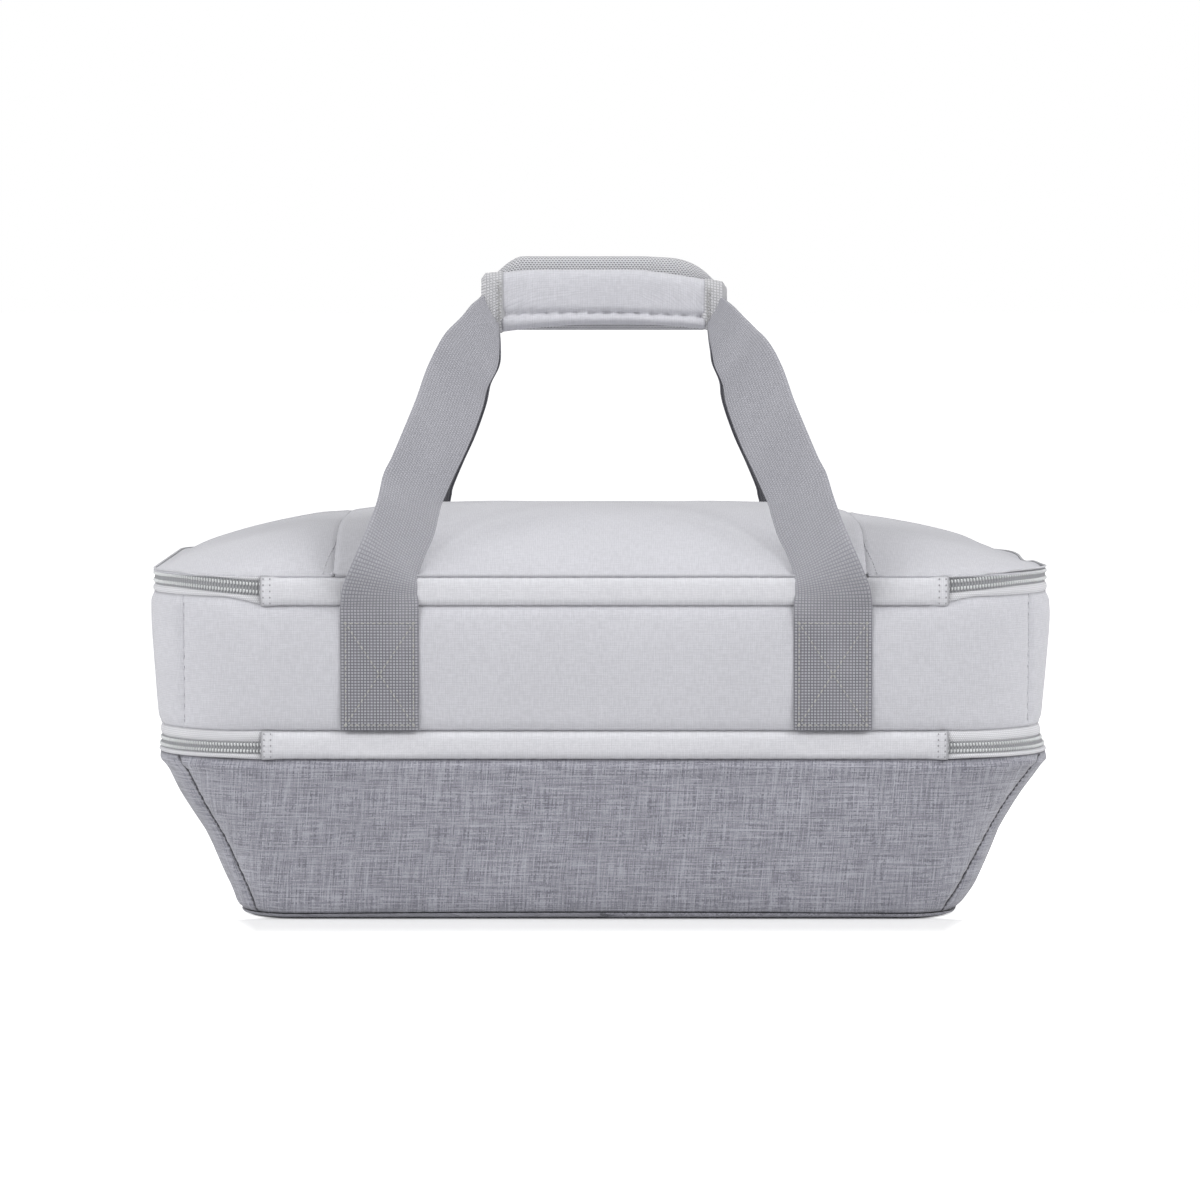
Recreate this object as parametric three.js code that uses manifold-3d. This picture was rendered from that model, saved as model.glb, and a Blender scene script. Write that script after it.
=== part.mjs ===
// Two-deck insulated casserole carrier: a tapered base tray, an upper compartment that swings
// open on a sewn hinge strip, a domed lid on a second hinge strip, two coil zips with two sliders
// each, and two webbing handles whose padded grip halves mate with hook-and-loop patches.
// Millimetres, +Z up, origin on the floor under the centre of the base. X runs along the carrier,
// -Y is the hinge side with the sewn strips and +Y is the side where the zip sliders meet.
import * as THREE from "three";
import { mergeVertices } from "three/addons/utils/BufferGeometryUtils.js";
import Module from "manifold-3d";

const wasm = await Module();
wasm.setup();

// Heights of the stacked sections
const footRoll = 5;
const baseHeight = 79.1;
const lowerBandHeight = 14.4;
const wallHeight = 60.1;
const upperBandHeight = 15.1;
const domeRise = 28.5;

// The plan outline at the rim, and how far each lower level is drawn in from the one above it
const rimHalfWidth = 220;
const rimHalfDepth = 142;
const rimCorner = 60;
const waistDrawIn = 3.5;
const waistDrawInDepth = 1;
const waistCornerDrawIn = 4;
const baseTopDrawIn = 1.5;
const baseTopDrawInDepth = 0.9;
const baseTopCornerDrawIn = 6;
const footDrawIn = 36.5;
const footDrawInDepth = 12;
const footCornerDrawIn = 22;
const footRollDrawIn = 4;
const baseSideHollow = 3;

// Layers of the wall, from the outside in
const clearance = 0.3;
const fabric = 1.4;
const foam = 6;
const floorFoam = 5;
const liner = 0.8;
const board = 1.5;
const overrun = 20;

// Sewn seams
const sideSeamInset = 12;
const footSeamInset = 7.5;
const lidEndPanel = 91;
const domeRoundness = 3.2;
const lidPinchShare = 0.35;

// Coil zips
const zipRowGap = 1.6;
const zipRowHeight = 2;
const zipRowProud = 0.4;
const zipRowDepth = 1.8;
const tapeThickness = 1;
const hingeStripInset = 56;

// Zip sliders and their pulls
const sliderLength = 11;
const sliderHeight = 9;
const sliderPlate = 1.2;
const sliderPostLength = 3;
const sliderPostHeight = 0.9;
const sliderNoseGap = 3;
const bridgeSpan = 8;
const bridgeBar = 1.2;
const bridgeRise = 1.8;
const pullHeadLength = 6;
const pullHeadRadius = 1.5;
const pullEyeRadius = 0.9;
const pullTabLength = 25;
const pullTabWidth = 7;
const pullTabThickness = 1.6;

// Webbing handles
const webbingWidth = 38;
const webbingThickness = 1.7;
const strapInset = 110.5;
const looseRootLength = 9;

// Padded grip halves
const gripLength = 120;
const gripBinding = 8.7;
const gripWall = 5.7;
const gripDepth = 13;
const gripStrapHeight = 19;
const gripStrapThickness = 3.6;
const gripSlack = 0.5;
const gripRise = 132;
const backGripBelow = 16;
const backGripAbove = 15;
const frontGripBelow = 16;
const frontGripAbove = 22;
const gripRound = 7;
const bindingProud = 0.5;
const frontGripCorner = 12;
const patchLength = 96;
const patchHeight = 18;

// Sizes that follow from the ones above
const wallBottom = baseHeight + lowerBandHeight;
const wallTop = wallBottom + wallHeight;
const rimHeight = wallTop + upperBandHeight;
const lowerZipHeight = baseHeight + lowerBandHeight / 2;
const upperZipHeight = wallTop + upperBandHeight / 2;
const deckFloor = wallBottom + board + clearance;
const anchorTop = wallTop - looseRootLength;
const gripCentreHeight = rimHeight + gripRise;
const waistHalfWidth = rimHalfWidth - waistDrawIn;
const waistHalfDepth = rimHalfDepth - waistDrawInDepth;
const waistCorner = rimCorner - waistCornerDrawIn;
const baseTopHalfWidth = waistHalfWidth - baseTopDrawIn;
const baseTopHalfDepth = waistHalfDepth - baseTopDrawInDepth;
const baseTopCorner = waistCorner - baseTopCornerDrawIn;
const footHalfWidth = baseTopHalfWidth - footDrawIn;
const footHalfDepth = baseTopHalfDepth - footDrawInDepth;
const footCorner = baseTopCorner - footCornerDrawIn;
const floorHalfWidth = footHalfWidth - footRollDrawIn;
const floorHalfDepth = footHalfDepth - footRollDrawIn;
const floorCorner = footCorner - footRollDrawIn;
const wallSeamHalfWidth = waistHalfWidth - sideSeamInset;
const footSeamHalfWidth = footHalfWidth - footSeamInset;
const lidSeamHalfWidth = rimHalfWidth - lidEndPanel;
const hingeStripHalfWidth = rimHalfWidth - hingeStripInset;
const strapCentre = rimHalfWidth - strapInset;
const backGripBottom = gripCentreHeight - backGripBelow;
const backGripTop = gripCentreHeight + backGripAbove;
const frontGripBottom = gripCentreHeight - frontGripBelow;
const frontGripTop = gripCentreHeight + frontGripAbove;
const cornerSteps = 6;
const arcSteps = 5;
const domeShares = [1, 0.94, 0.86, 0.76, 0.62, 0.36];

// The plan outline from the floor to the rim. Each section has a height and half sizes.
const sections = [
  { z: 0, x: floorHalfWidth, y: floorHalfDepth, r: floorCorner },
  { z: footRoll, x: footHalfWidth, y: footHalfDepth, r: footCorner },
  {
    z: (footRoll + baseHeight) / 2,
    x: (footHalfWidth + baseTopHalfWidth) / 2 - baseSideHollow,
    y: (footHalfDepth + baseTopHalfDepth) / 2,
    r: (footCorner + baseTopCorner) / 2,
  },
  { z: baseHeight, x: baseTopHalfWidth, y: baseTopHalfDepth, r: baseTopCorner },
  { z: wallBottom, x: waistHalfWidth, y: waistHalfDepth, r: waistCorner },
  { z: wallTop, x: rimHalfWidth, y: rimHalfDepth, r: rimCorner },
  { z: rimHeight, x: rimHalfWidth, y: rimHalfDepth, r: rimCorner },
];

function sectionAt(z) {
  const last = sections.length - 2;
  let i = sections.findIndex((s, n) => n <= last && z <= sections[n + 1].z);
  if (i < 0) i = last;
  const [a, b] = [sections[i], sections[i + 1]];
  const t = THREE.MathUtils.clamp((z - a.z) / (b.z - a.z), 0, 1);
  const mix = (key) => THREE.MathUtils.lerp(a[key], b[key], t);
  return { x: mix("x"), y: mix("y"), r: mix("r") };
}

// A rounded rectangle seen from above, counter-clockwise, with the same count of points each time.
function ring(halfX, halfY, radius, z) {
  const centres = [
    [halfX - radius, halfY - radius],
    [radius - halfX, halfY - radius],
    [radius - halfX, radius - halfY],
    [halfX - radius, radius - halfY],
  ];
  return centres.flatMap(([x, y], quarter) =>
    Array.from({ length: cornerSteps + 1 }, (_, step) => {
      const angle = (quarter + step / cornerSteps) * (Math.PI / 2);
      return new THREE.Vector3(x + radius * Math.cos(angle), y + radius * Math.sin(angle), z);
    }),
  );
}

const insetRing = (section, inset, z) =>
  ring(section.x - inset, section.y - inset, section.r - inset, z);

function solidFrom(geometry) {
  const bare = new THREE.BufferGeometry().setAttribute("position", geometry.getAttribute("position"));
  if (geometry.index) bare.setIndex(geometry.index);
  const merged = mergeVertices(bare, 1e-4);
  return new wasm.Manifold(
    new wasm.Mesh({
      numProp: 3,
      vertProperties: merged.attributes.position.array,
      triVerts: new Uint32Array(merged.index.array),
    }),
  );
}

function geometryFrom(solid) {
  const { numProp, numVert, vertProperties, triVerts } = solid.getMesh();
  const places = new Float32Array(numVert * 3);
  for (let i = 0; i < numVert; i++) {
    places.set(vertProperties.subarray(i * numProp, i * numProp + 3), i * 3);
  }
  const geometry = new THREE.BufferGeometry();
  geometry.setAttribute("position", new THREE.BufferAttribute(places, 3));
  geometry.setIndex(new THREE.BufferAttribute(triVerts, 1));
  geometry.computeVertexNormals();
  return geometry;
}

// A closed solid through a stack of rings, with each end closed by a fan to its own middle point.
function loft(rings, lowMiddle, highMiddle) {
  const count = rings[0].length;
  const points = [...rings.flat(), lowMiddle, highMiddle];
  const [low, high] = [points.length - 2, points.length - 1];
  const faces = [];
  for (let i = 0; i < count; i++) {
    const j = (i + 1) % count;
    for (let level = 0; level + 1 < rings.length; level++) {
      const [a, b] = [level * count, (level + 1) * count];
      faces.push(a + i, a + j, b + j, a + i, b + j, b + i);
    }
    const top = (rings.length - 1) * count;
    faces.push(low, j, i, high, top + i, top + j);
  }
  const geometry = new THREE.BufferGeometry();
  geometry.setAttribute(
    "position",
    new THREE.Float32BufferAttribute(points.flatMap((p) => p.toArray()), 3),
  );
  geometry.setIndex(faces);
  return solidFrom(geometry);
}

const middleOf = (points) =>
  points.reduce((sum, p) => sum.add(p), new THREE.Vector3()).divideScalar(points.length);

// The space inside the outline between two heights, drawn in by an inset.
function core(low, high, inset) {
  const between = sections.map((s) => s.z).filter((z) => z > low && z < high);
  const rings = [low, ...between, high].map((z) => insetRing(sectionAt(z), inset, z));
  return loft(rings, middleOf(rings[0]), middleOf(rings.at(-1)));
}

// The space under the dome, from a flat underside up to the dome lowered by an inset. The layers
// are pinched together where the lid is sewn at its edge.
function domeCore(low, inset) {
  const rings = domeShares.map((share) => {
    const crown = 1 - share ** domeRoundness;
    const drop = inset * THREE.MathUtils.lerp(lidPinchShare, 1, crown);
    return ring(
      (rimHalfWidth - inset) * share,
      (rimHalfDepth - inset) * share,
      (rimCorner - inset) * share,
      rimHeight + domeRise * crown - drop,
    );
  });
  const skirt = insetRing(sectionAt(rimHeight), inset, low);
  const lid = inset > 0 ? [skirt, ...rings] : rings;
  const top = new THREE.Vector3(0, 0, rimHeight + domeRise - inset);
  return loft(lid, middleOf(lid[0]), top);
}

function box(low, high) {
  const [a, b] = [new THREE.Vector3(...low), new THREE.Vector3(...high)];
  const size = b.clone().sub(a);
  const middle = a.clone().add(b).divideScalar(2);
  return solidFrom(new THREE.BoxGeometry(...size.toArray()).translate(...middle.toArray()));
}

// A bar that is round about the X axis.
function barAlongX(radius, length, x, y, z, sides = 10) {
  const bar = new THREE.CylinderGeometry(radius, radius, length, sides);
  return solidFrom(bar.rotateZ(Math.PI / 2).translate(x, y, z));
}

// An outline in X and Z, drawn through the whole depth of the carrier.
function prismAlongY(outline) {
  const shape = new THREE.Shape(outline.map(([x, z]) => new THREE.Vector2(x, z)));
  const depth = 2 * (rimHalfDepth + overrun);
  const prism = new THREE.ExtrudeGeometry(shape, { depth, bevelEnabled: false });
  return solidFrom(prism.rotateX(Math.PI / 2).translate(0, depth / 2, 0));
}

// An outline in Y and Z, drawn along X with its middle at x.
function prismAlongX(shape, length, x) {
  const prism = new THREE.ExtrudeGeometry(shape, {
    depth: length,
    bevelEnabled: false,
    curveSegments: arcSteps,
  });
  prism.rotateX(Math.PI / 2).rotateZ(Math.PI / 2);
  return solidFrom(prism.translate(x - length / 2, 0, 0));
}

const reach = rimHalfWidth + overrun;
const deep = rimHalfDepth + overrun;
const tall = frontGripTop + overrun;
const backHalf = box([-reach, -deep, -overrun], [reach, 0, tall]);
const frontHalf = box([-reach, 0, -overrun], [reach, deep, tall]);

// The four sewn panels of a shell, parted by seams at given half widths low and high.
function sewnPanels(shell, low, high, lowSeam, highSeam) {
  const slope = (highSeam - lowSeam) / (high - low);
  const seamAt = (z, shift) => lowSeam + slope * (z - low) + shift;
  const [under, over] = [low - overrun, high + overrun];
  const side = (sign) =>
    prismAlongY([
      [sign * seamAt(under, clearance / 2), under],
      [sign * reach, under],
      [sign * reach, over],
      [sign * seamAt(over, clearance / 2), over],
    ]);
  const middle = prismAlongY([
    [-seamAt(under, -clearance / 2), under],
    [seamAt(under, -clearance / 2), under],
    [seamAt(over, -clearance / 2), over],
    [-seamAt(over, -clearance / 2), over],
  ]);
  return {
    back: shell.intersect(middle).intersect(backHalf),
    front: shell.intersect(middle).intersect(frontHalf),
    left: shell.intersect(side(-1)),
    right: shell.intersect(side(1)),
  };
}

// A band that runs round the ends and the slider side, and stops at the hinge strip.
function zipBand(low, high, outerInset, innerInset) {
  const hinge = box(
    [-hingeStripHalfWidth, -deep, low - overrun],
    [hingeStripHalfWidth, 0, high + overrun],
  );
  const inner = core(low - clearance, high + clearance, innerInset);
  return core(low, high, outerInset).subtract(inner).subtract(hinge);
}

const zipRow = (low) => zipBand(low, low + zipRowHeight, -zipRowProud, zipRowDepth - zipRowProud);
const zipTape = (low, high) => zipBand(low, high, fabric - tapeThickness, fabric);

// The sewn strip at the back that lets one deck swing on the other.
function hingeStrip(low, high) {
  const end = hingeStripHalfWidth - clearance;
  const shell = core(low, high, 0).subtract(core(low - clearance, high + clearance, fabric));
  return shell.intersect(box([-end, -deep, low], [end, 0, high]));
}

const colours = {
  paleCloth: new THREE.MeshStandardMaterial({ color: 0xd3d2d7, roughness: 0.9 }),
  heatherCloth: new THREE.MeshStandardMaterial({ color: 0x9696a1, roughness: 0.95 }),
  webbing: new THREE.MeshStandardMaterial({ color: 0x9d9ca5, roughness: 0.85 }),
  mesh: new THREE.MeshStandardMaterial({ color: 0xb9b9bd, roughness: 0.95 }),
  tape: new THREE.MeshStandardMaterial({ color: 0xc9cacc, roughness: 0.9 }),
  coil: new THREE.MeshStandardMaterial({ color: 0xc4c7ca, roughness: 0.35 }),
  foam: new THREE.MeshStandardMaterial({ color: 0xe9e9e6, roughness: 1 }),
  foil: new THREE.MeshStandardMaterial({ color: 0xc9cbcf, roughness: 0.3, metalness: 0.8 }),
  board: new THREE.MeshStandardMaterial({ color: 0x55565a, roughness: 0.6 }),
  metal: new THREE.MeshStandardMaterial({ color: 0xaeb1b6, roughness: 0.35, metalness: 0.9 }),
  pull: new THREE.MeshStandardMaterial({ color: 0x9a9ba2, roughness: 0.6 }),
  hook: new THREE.MeshStandardMaterial({ color: 0xb4b4ba, roughness: 1 }),
};

const carrier = new THREE.Group();

function add(name, solid, material, group = carrier) {
  const mesh = new THREE.Mesh(geometryFrom(solid), material);
  mesh.name = name;
  group.add(mesh);
  return mesh;
}

// Base tray: a bottom panel turned up at its edge, four sewn panels, a board, foam and a lining.
function makeBase() {
  const skin = core(0, baseHeight, 0).subtract(core(fabric, baseHeight + overrun, fabric));
  const turnUp = footRoll - clearance / 2;
  const belowSeam = box([-reach, -deep, -overrun], [reach, deep, turnUp]);
  const aboveSeam = box([-reach, -deep, turnUp + clearance], [reach, deep, tall]);
  const panels = sewnPanels(
    skin.intersect(aboveSeam), 0, baseHeight, footSeamHalfWidth, wallSeamHalfWidth,
  );
  add("base_bottom_panel", skin.intersect(belowSeam), colours.heatherCloth);
  for (const [side, panel] of Object.entries(panels)) {
    add(`base_${side}_panel`, panel, colours.heatherCloth);
  }
  const behindSkin = fabric + clearance;
  const boardTop = behindSkin + board;
  const foamFloor = boardTop + clearance;
  const behindFoam = behindSkin + foam;
  const lining = behindFoam + clearance;
  const liningFloor = foamFloor + floorFoam + clearance;
  const top = baseHeight + overrun;
  add("base_board", core(behindSkin, boardTop, behindSkin), colours.board);
  add(
    "base_foam",
    core(foamFloor, baseHeight, behindSkin).subtract(core(foamFloor + floorFoam, top, behindFoam)),
    colours.foam,
  );
  const liningTop = baseHeight + lowerBandHeight / 4;
  add(
    "base_lining",
    core(liningFloor, liningTop, lining).subtract(core(liningFloor + liner, top, lining + liner)),
    colours.foil,
  );
}

// Upper compartment: four sewn wall panels over foam, a floor with its own board, and a lining.
function makeUpperCompartment() {
  const shell = core(wallBottom, wallTop, 0).subtract(
    core(wallBottom - clearance, wallTop + clearance, fabric),
  );
  const panels = sewnPanels(shell, wallBottom, wallTop, wallSeamHalfWidth, wallSeamHalfWidth);
  for (const [side, panel] of Object.entries(panels)) {
    add(`wall_${side}_panel`, panel, colours.paleCloth);
  }
  const behindSkin = fabric + clearance;
  const behindFoam = behindSkin + foam;
  const lining = behindFoam + clearance;
  const liningFloor = deckFloor + floorFoam + clearance;
  const under = wallBottom - clearance;
  add("deck_underside", core(under - liner, under, behindSkin), colours.foil);
  add("deck_board", core(wallBottom, wallBottom + board, behindSkin), colours.board);
  add(
    "deck_foam",
    core(deckFloor, wallTop, behindSkin).subtract(
      core(deckFloor + floorFoam, wallTop + overrun, behindFoam),
    ),
    colours.foam,
  );
  const liningTop = wallTop + upperBandHeight / 4;
  add(
    "deck_lining",
    core(liningFloor, liningTop, lining).subtract(
      core(liningFloor + liner, liningTop + overrun, lining + liner),
    ),
    colours.foil,
  );
}

// Lid: a middle panel and two end panels sewn into a dome, over foam and a lining.
function makeLid() {
  const low = rimHeight + clearance;
  const dome = domeCore(rimHeight, 0).intersect(box([-reach, -deep, low], [reach, deep, tall]));
  const skin = dome.subtract(domeCore(rimHeight - overrun, fabric));
  const seam = lidSeamHalfWidth - clearance / 2;
  const outside = lidSeamHalfWidth + clearance / 2;
  add("lid_middle_panel", skin.intersect(box([-seam, -deep, 0], [seam, deep, tall])), colours.paleCloth);
  add("lid_left_panel", skin.intersect(box([-reach, -deep, 0], [-outside, deep, tall])), colours.paleCloth);
  add("lid_right_panel", skin.intersect(box([outside, -deep, 0], [reach, deep, tall])), colours.paleCloth);
  const behindSkin = fabric + clearance;
  const lining = behindSkin + foam + clearance;
  const liningLow = rimHeight - (lining + liner) * lidPinchShare;
  const foamLow = liningLow + clearance;
  const foamBody = domeCore(foamLow, behindSkin);
  add(
    "lid_foam",
    foamBody.subtract(domeCore(foamLow - overrun, behindSkin + foam)),
    colours.foam,
  );
  add(
    "lid_lining",
    domeCore(liningLow, lining).subtract(domeCore(liningLow - overrun, lining + liner)),
    colours.foil,
  );
}

// A coil zip: two rows of coil with a gap for the slider's post, and the two tapes that hold them.
function makeZip(name, height, lowSeam, highSeam, lowOwner, highOwner) {
  const row = zipRowGap / 2;
  const edge = row + zipRowHeight + clearance;
  add(`${name}_zip_coil_${lowOwner}`, zipRow(height - row - zipRowHeight), colours.coil);
  add(`${name}_zip_coil_${highOwner}`, zipRow(height + row), colours.coil);
  add(`${name}_zip_tape_${lowOwner}`, zipTape(lowSeam + clearance, height - edge), colours.tape);
  add(`${name}_zip_tape_${highOwner}`, zipTape(height + edge, highSeam - clearance), colours.tape);
  add(`${name}_hinge_strip`, hingeStrip(lowSeam + clearance, highSeam - clearance), colours.paleCloth);
}

// A slider straddles both coil rows: a front plate, a post in the gap and a plate behind.
function makeSlider(name, side, sign, height) {
  const front = sectionAt(height).y;
  const faceIn = front + zipRowProud + clearance;
  const faceOut = faceIn + sliderPlate;
  const backIn = front - fabric - clearance;
  const backOut = backIn - sliderPlate;
  const near = sliderNoseGap / 2;
  const far = near + sliderLength;
  const middle = (sign * (near + far)) / 2;
  const span = (from, to) => [Math.min(sign * from, sign * to), Math.max(sign * from, sign * to)];
  const plate = (from, to, low, high, tallness) => {
    const [x0, x1] = span(from, to);
    return box([x0, low, height - tallness / 2], [x1, high, height + tallness / 2]);
  };
  const barY = faceOut + bridgeRise;
  const leg = (shift) =>
    box(
      [middle + shift - bridgeBar / 2, faceOut - bridgeBar / 2, height - bridgeBar / 2],
      [middle + shift + bridgeBar / 2, barY, height + bridgeBar / 2],
    );
  const reachIn = sliderPlate / 2;
  const slider = plate(near, far, faceIn, faceOut, sliderHeight)
    .add(plate(near, far, backOut, backIn, sliderHeight))
    .add(plate(near, near + sliderPostLength, backIn - reachIn, faceIn + reachIn, sliderPostHeight))
    .add(leg(-bridgeSpan / 2))
    .add(leg(bridgeSpan / 2))
    .add(barAlongX(bridgeBar / 2, bridgeSpan + bridgeBar, middle, barY, height));
  add(`${name}_slider_${side}`, slider, colours.metal);

  const tabTop = height - pullEyeRadius - clearance;
  const tab = box(
    [middle - pullTabWidth / 2, barY - pullTabThickness / 2, height - pullTabLength],
    [middle + pullTabWidth / 2, barY + pullTabThickness / 2, tabTop - pullHeadRadius / 2],
  );
  const head = barAlongX(pullHeadRadius, pullHeadLength, middle, barY, height, 12);
  const neck = box(
    [middle - pullHeadLength / 2, barY - pullTabThickness / 2, tabTop - pullHeadRadius],
    [middle + pullHeadLength / 2, barY + pullTabThickness / 2, tabTop],
  );
  const eye = barAlongX(pullEyeRadius, pullHeadLength + overrun, middle, barY, height);
  add(`${name}_pull_${side}`, tab.add(neck).add(head).subtract(eye), colours.pull);
}

// The webbing lies just clear of the coil, on the outside of the wall.
const webbingInner = rimHalfDepth + zipRowProud + clearance;
const webbingOuter = webbingInner + webbingThickness;
const gripStrapY = gripDepth - gripWall - clearance - gripStrapThickness / 2;

// A webbing leg from the root up to the end of the grip. Each row gives the shares of the way up,
// in towards the middle and along to the grip, then how far the width has turned upright, the
// share of the full width that is left and how far the webbing is folded double.
const legShares = [
  [0, 0, 0, 0, 1, 0],
  [0.17, 0, 0.1, 0, 1, 0],
  [0.22, 0.035, 0.15, 0.02, 1, 0],
  [0.33, 0.15, 0.27, 0.05, 1, 0],
  [0.58, 0.45, 0.58, 0.14, 1, 0],
  [0.76, 0.67, 0.77, 0.25, 0.98, 0],
  [0.86, 0.8, 0.82, 0.45, 0.88, 0.2],
  [0.93, 0.9, 0.85, 0.75, 0.7, 0.6],
  [0.985, 0.98, 0.9, 0.97, 0.54, 0.95],
  [1, 1, 1, 1, 0.5, 1],
];

function legStations(sign, face) {
  const low = new THREE.Vector3(
    sign * strapCentre,
    (face * (webbingInner + webbingOuter)) / 2,
    wallTop + clearance / 2,
  );
  const high = new THREE.Vector3(sign * (gripLength / 2 + clearance), face * gripStrapY, gripCentreHeight);
  return legShares.map(([up, inward, along, turn, widthShare, fold]) => ({
    place: new THREE.Vector3(
      THREE.MathUtils.lerp(low.x, high.x, along),
      THREE.MathUtils.lerp(low.y, high.y, inward),
      THREE.MathUtils.lerp(low.z, high.z, up),
    ),
    across: new THREE.Vector3(sign * (1 - turn), 0, turn),
    turn,
    width: webbingWidth * widthShare,
    thickness: THREE.MathUtils.lerp(webbingThickness, gripStrapThickness, fold),
  }));
}

// A flat band through stations, which sets out in one direction and, as it turns, takes another.
function band(stations, departure, arrival) {
  const last = stations.length - 1;
  const rings = stations.map((station, i) => {
    const chord = stations[Math.min(i + 1, last)].place.clone().sub(stations[Math.max(i - 1, 0)].place);
    const along = i === 0 ? departure.clone() : chord.normalize().lerp(arrival, station.turn);
    along.normalize();
    const across = station.across.clone().addScaledVector(along, -station.across.dot(along));
    across.normalize().multiplyScalar(station.width / 2);
    const off = along.clone().cross(across).normalize().multiplyScalar(station.thickness / 2);
    const corner = (a, b) => station.place.clone().addScaledVector(across, a).addScaledVector(off, b);
    return [corner(-1, -1), corner(1, -1), corner(1, 1), corner(-1, 1)];
  });
  return loft(rings, middleOf(rings[0]), middleOf(rings.at(-1)));
}

// A length of webbing flat against the wall between two heights, on one face of the carrier.
function flatWebbing(face, sign, low, high) {
  const [nearY, farY] = face < 0 ? [-webbingOuter, -webbingInner] : [webbingInner, webbingOuter];
  const centre = sign * strapCentre;
  const half = webbingWidth / 2;
  return box([centre - half, nearY, low], [centre + half, farY, high]);
}

// One side of a handle: the box-stitched anchor, the loose root above it and the leg to the grip.
function makeHandleSide(name, face, side, sign) {
  const half = clearance / 2;
  const anchor = flatWebbing(face, sign, wallBottom + clearance, anchorTop - half);
  const root = flatWebbing(face, sign, anchorTop + half, wallTop - half);
  const up = new THREE.Vector3(0, 0, 1);
  const leg = band(legStations(sign, face), up, new THREE.Vector3(-sign, 0, 0));
  add(`${name}_anchor_${side}`, anchor, colours.webbing);
  add(`${name}_root_${side}`, root, colours.webbing);
  add(`${name}_leg_${side}`, leg, colours.webbing);
}

// The doubled webbing that runs through a grip half.
function makeGripCore(name, face) {
  const [y, half] = [face * gripStrapY, gripStrapThickness / 2];
  add(
    `${name}_grip_core`,
    box(
      [-gripLength / 2, y - half, gripCentreHeight - gripStrapHeight / 2],
      [gripLength / 2, y + half, gripCentreHeight + gripStrapHeight / 2],
    ),
    colours.webbing,
  );
}

// The section of a grip half: a padded channel, open towards the other half.
function gripSection(face, low, high, proud) {
  const outer = gripDepth + proud;
  const [bottom, top] = [low - proud, high + proud];
  const open = clearance;
  const inner = gripDepth - gripWall;
  const slotLow = gripCentreHeight - gripStrapHeight / 2 - gripSlack;
  const slotHigh = gripCentreHeight + gripStrapHeight / 2 + gripSlack;
  const round = gripRound;
  const shape = new THREE.Shape();
  shape.moveTo(open, bottom);
  shape.lineTo(outer - round, bottom);
  shape.absarc(outer - round, bottom + round, round, -Math.PI / 2, 0, false);
  shape.lineTo(outer, top - round);
  shape.absarc(outer - round, top - round, round, 0, Math.PI / 2, false);
  shape.lineTo(open, top);
  shape.lineTo(open, slotHigh);
  shape.lineTo(inner, slotHigh);
  shape.lineTo(inner, slotLow);
  shape.lineTo(open, slotLow);
  shape.closePath();
  if (face > 0) return shape;
  const flipped = shape.extractPoints(arcSteps).shape.map((p) => new THREE.Vector2(-p.x, p.y));
  return new THREE.Shape(flipped);
}

function makePatch(name, face, kind) {
  const inner = clearance;
  const outer = gripStrapY - gripStrapThickness / 2 - clearance;
  const [nearY, farY] = face < 0 ? [-outer, -inner] : [inner, outer];
  add(
    `${name}_grip_${kind}_patch`,
    box(
      [-patchLength / 2, nearY, gripCentreHeight - patchHeight / 2],
      [patchLength / 2, farY, gripCentreHeight + patchHeight / 2],
    ),
    colours.hook,
  );
}

// The hinge-side grip half is a padded panel with a bound edge at each end.
function makeBackGrip() {
  const section = gripSection(-1, backGripBottom, backGripTop, 0);
  const padLength = gripLength - 2 * gripBinding;
  add("back_grip_pad", prismAlongX(section, padLength, 0), colours.paleCloth);
  const edge = gripSection(-1, backGripBottom, backGripTop, bindingProud);
  const bound = gripBinding - clearance;
  for (const [side, sign] of [["left", -1], ["right", 1]]) {
    const x = sign * (gripLength / 2 - bound / 2);
    add(`back_grip_binding_${side}`, prismAlongX(edge, bound, x), colours.tape);
  }
  makePatch("back", -1, "hook");
}

// The slider-side grip half is a taller spacer-mesh pad with rounded ends.
function makeFrontGrip() {
  const section = gripSection(1, frontGripBottom, frontGripTop, 0);
  const pad = prismAlongX(section, gripLength, 0);
  const [halfLength, r] = [gripLength / 2, frontGripCorner];
  const outline = new THREE.Shape();
  outline.moveTo(-halfLength, frontGripBottom - overrun);
  outline.lineTo(halfLength, frontGripBottom - overrun);
  outline.lineTo(halfLength, frontGripTop - r);
  outline.absarc(halfLength - r, frontGripTop - r, r, 0, Math.PI / 2, false);
  outline.lineTo(r - halfLength, frontGripTop);
  outline.absarc(r - halfLength, frontGripTop - r, r, Math.PI / 2, Math.PI, false);
  outline.closePath();
  const points = outline.extractPoints(arcSteps).shape.map((p) => [p.x, p.y]);
  add("front_grip_pad", pad.intersect(prismAlongY(points)), colours.mesh);
  makePatch("front", 1, "loop");
}

makeBase();
makeUpperCompartment();
makeLid();
makeZip("lower", lowerZipHeight, baseHeight, wallBottom, "base", "deck");
makeZip("upper", upperZipHeight, wallTop, rimHeight, "deck", "lid");
for (const [side, sign] of [["left", -1], ["right", 1]]) {
  makeSlider("lower", side, sign, lowerZipHeight);
  makeSlider("upper", side, sign, upperZipHeight);
  makeHandleSide("back", -1, side, sign);
  makeHandleSide("front", 1, side, sign);
}
makeGripCore("back", -1);
makeGripCore("front", 1);
makeBackGrip();
makeFrontGrip();

export default carrier;
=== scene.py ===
import math

import bmesh
import bpy
import numpy as np
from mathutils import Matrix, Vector, noise


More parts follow.
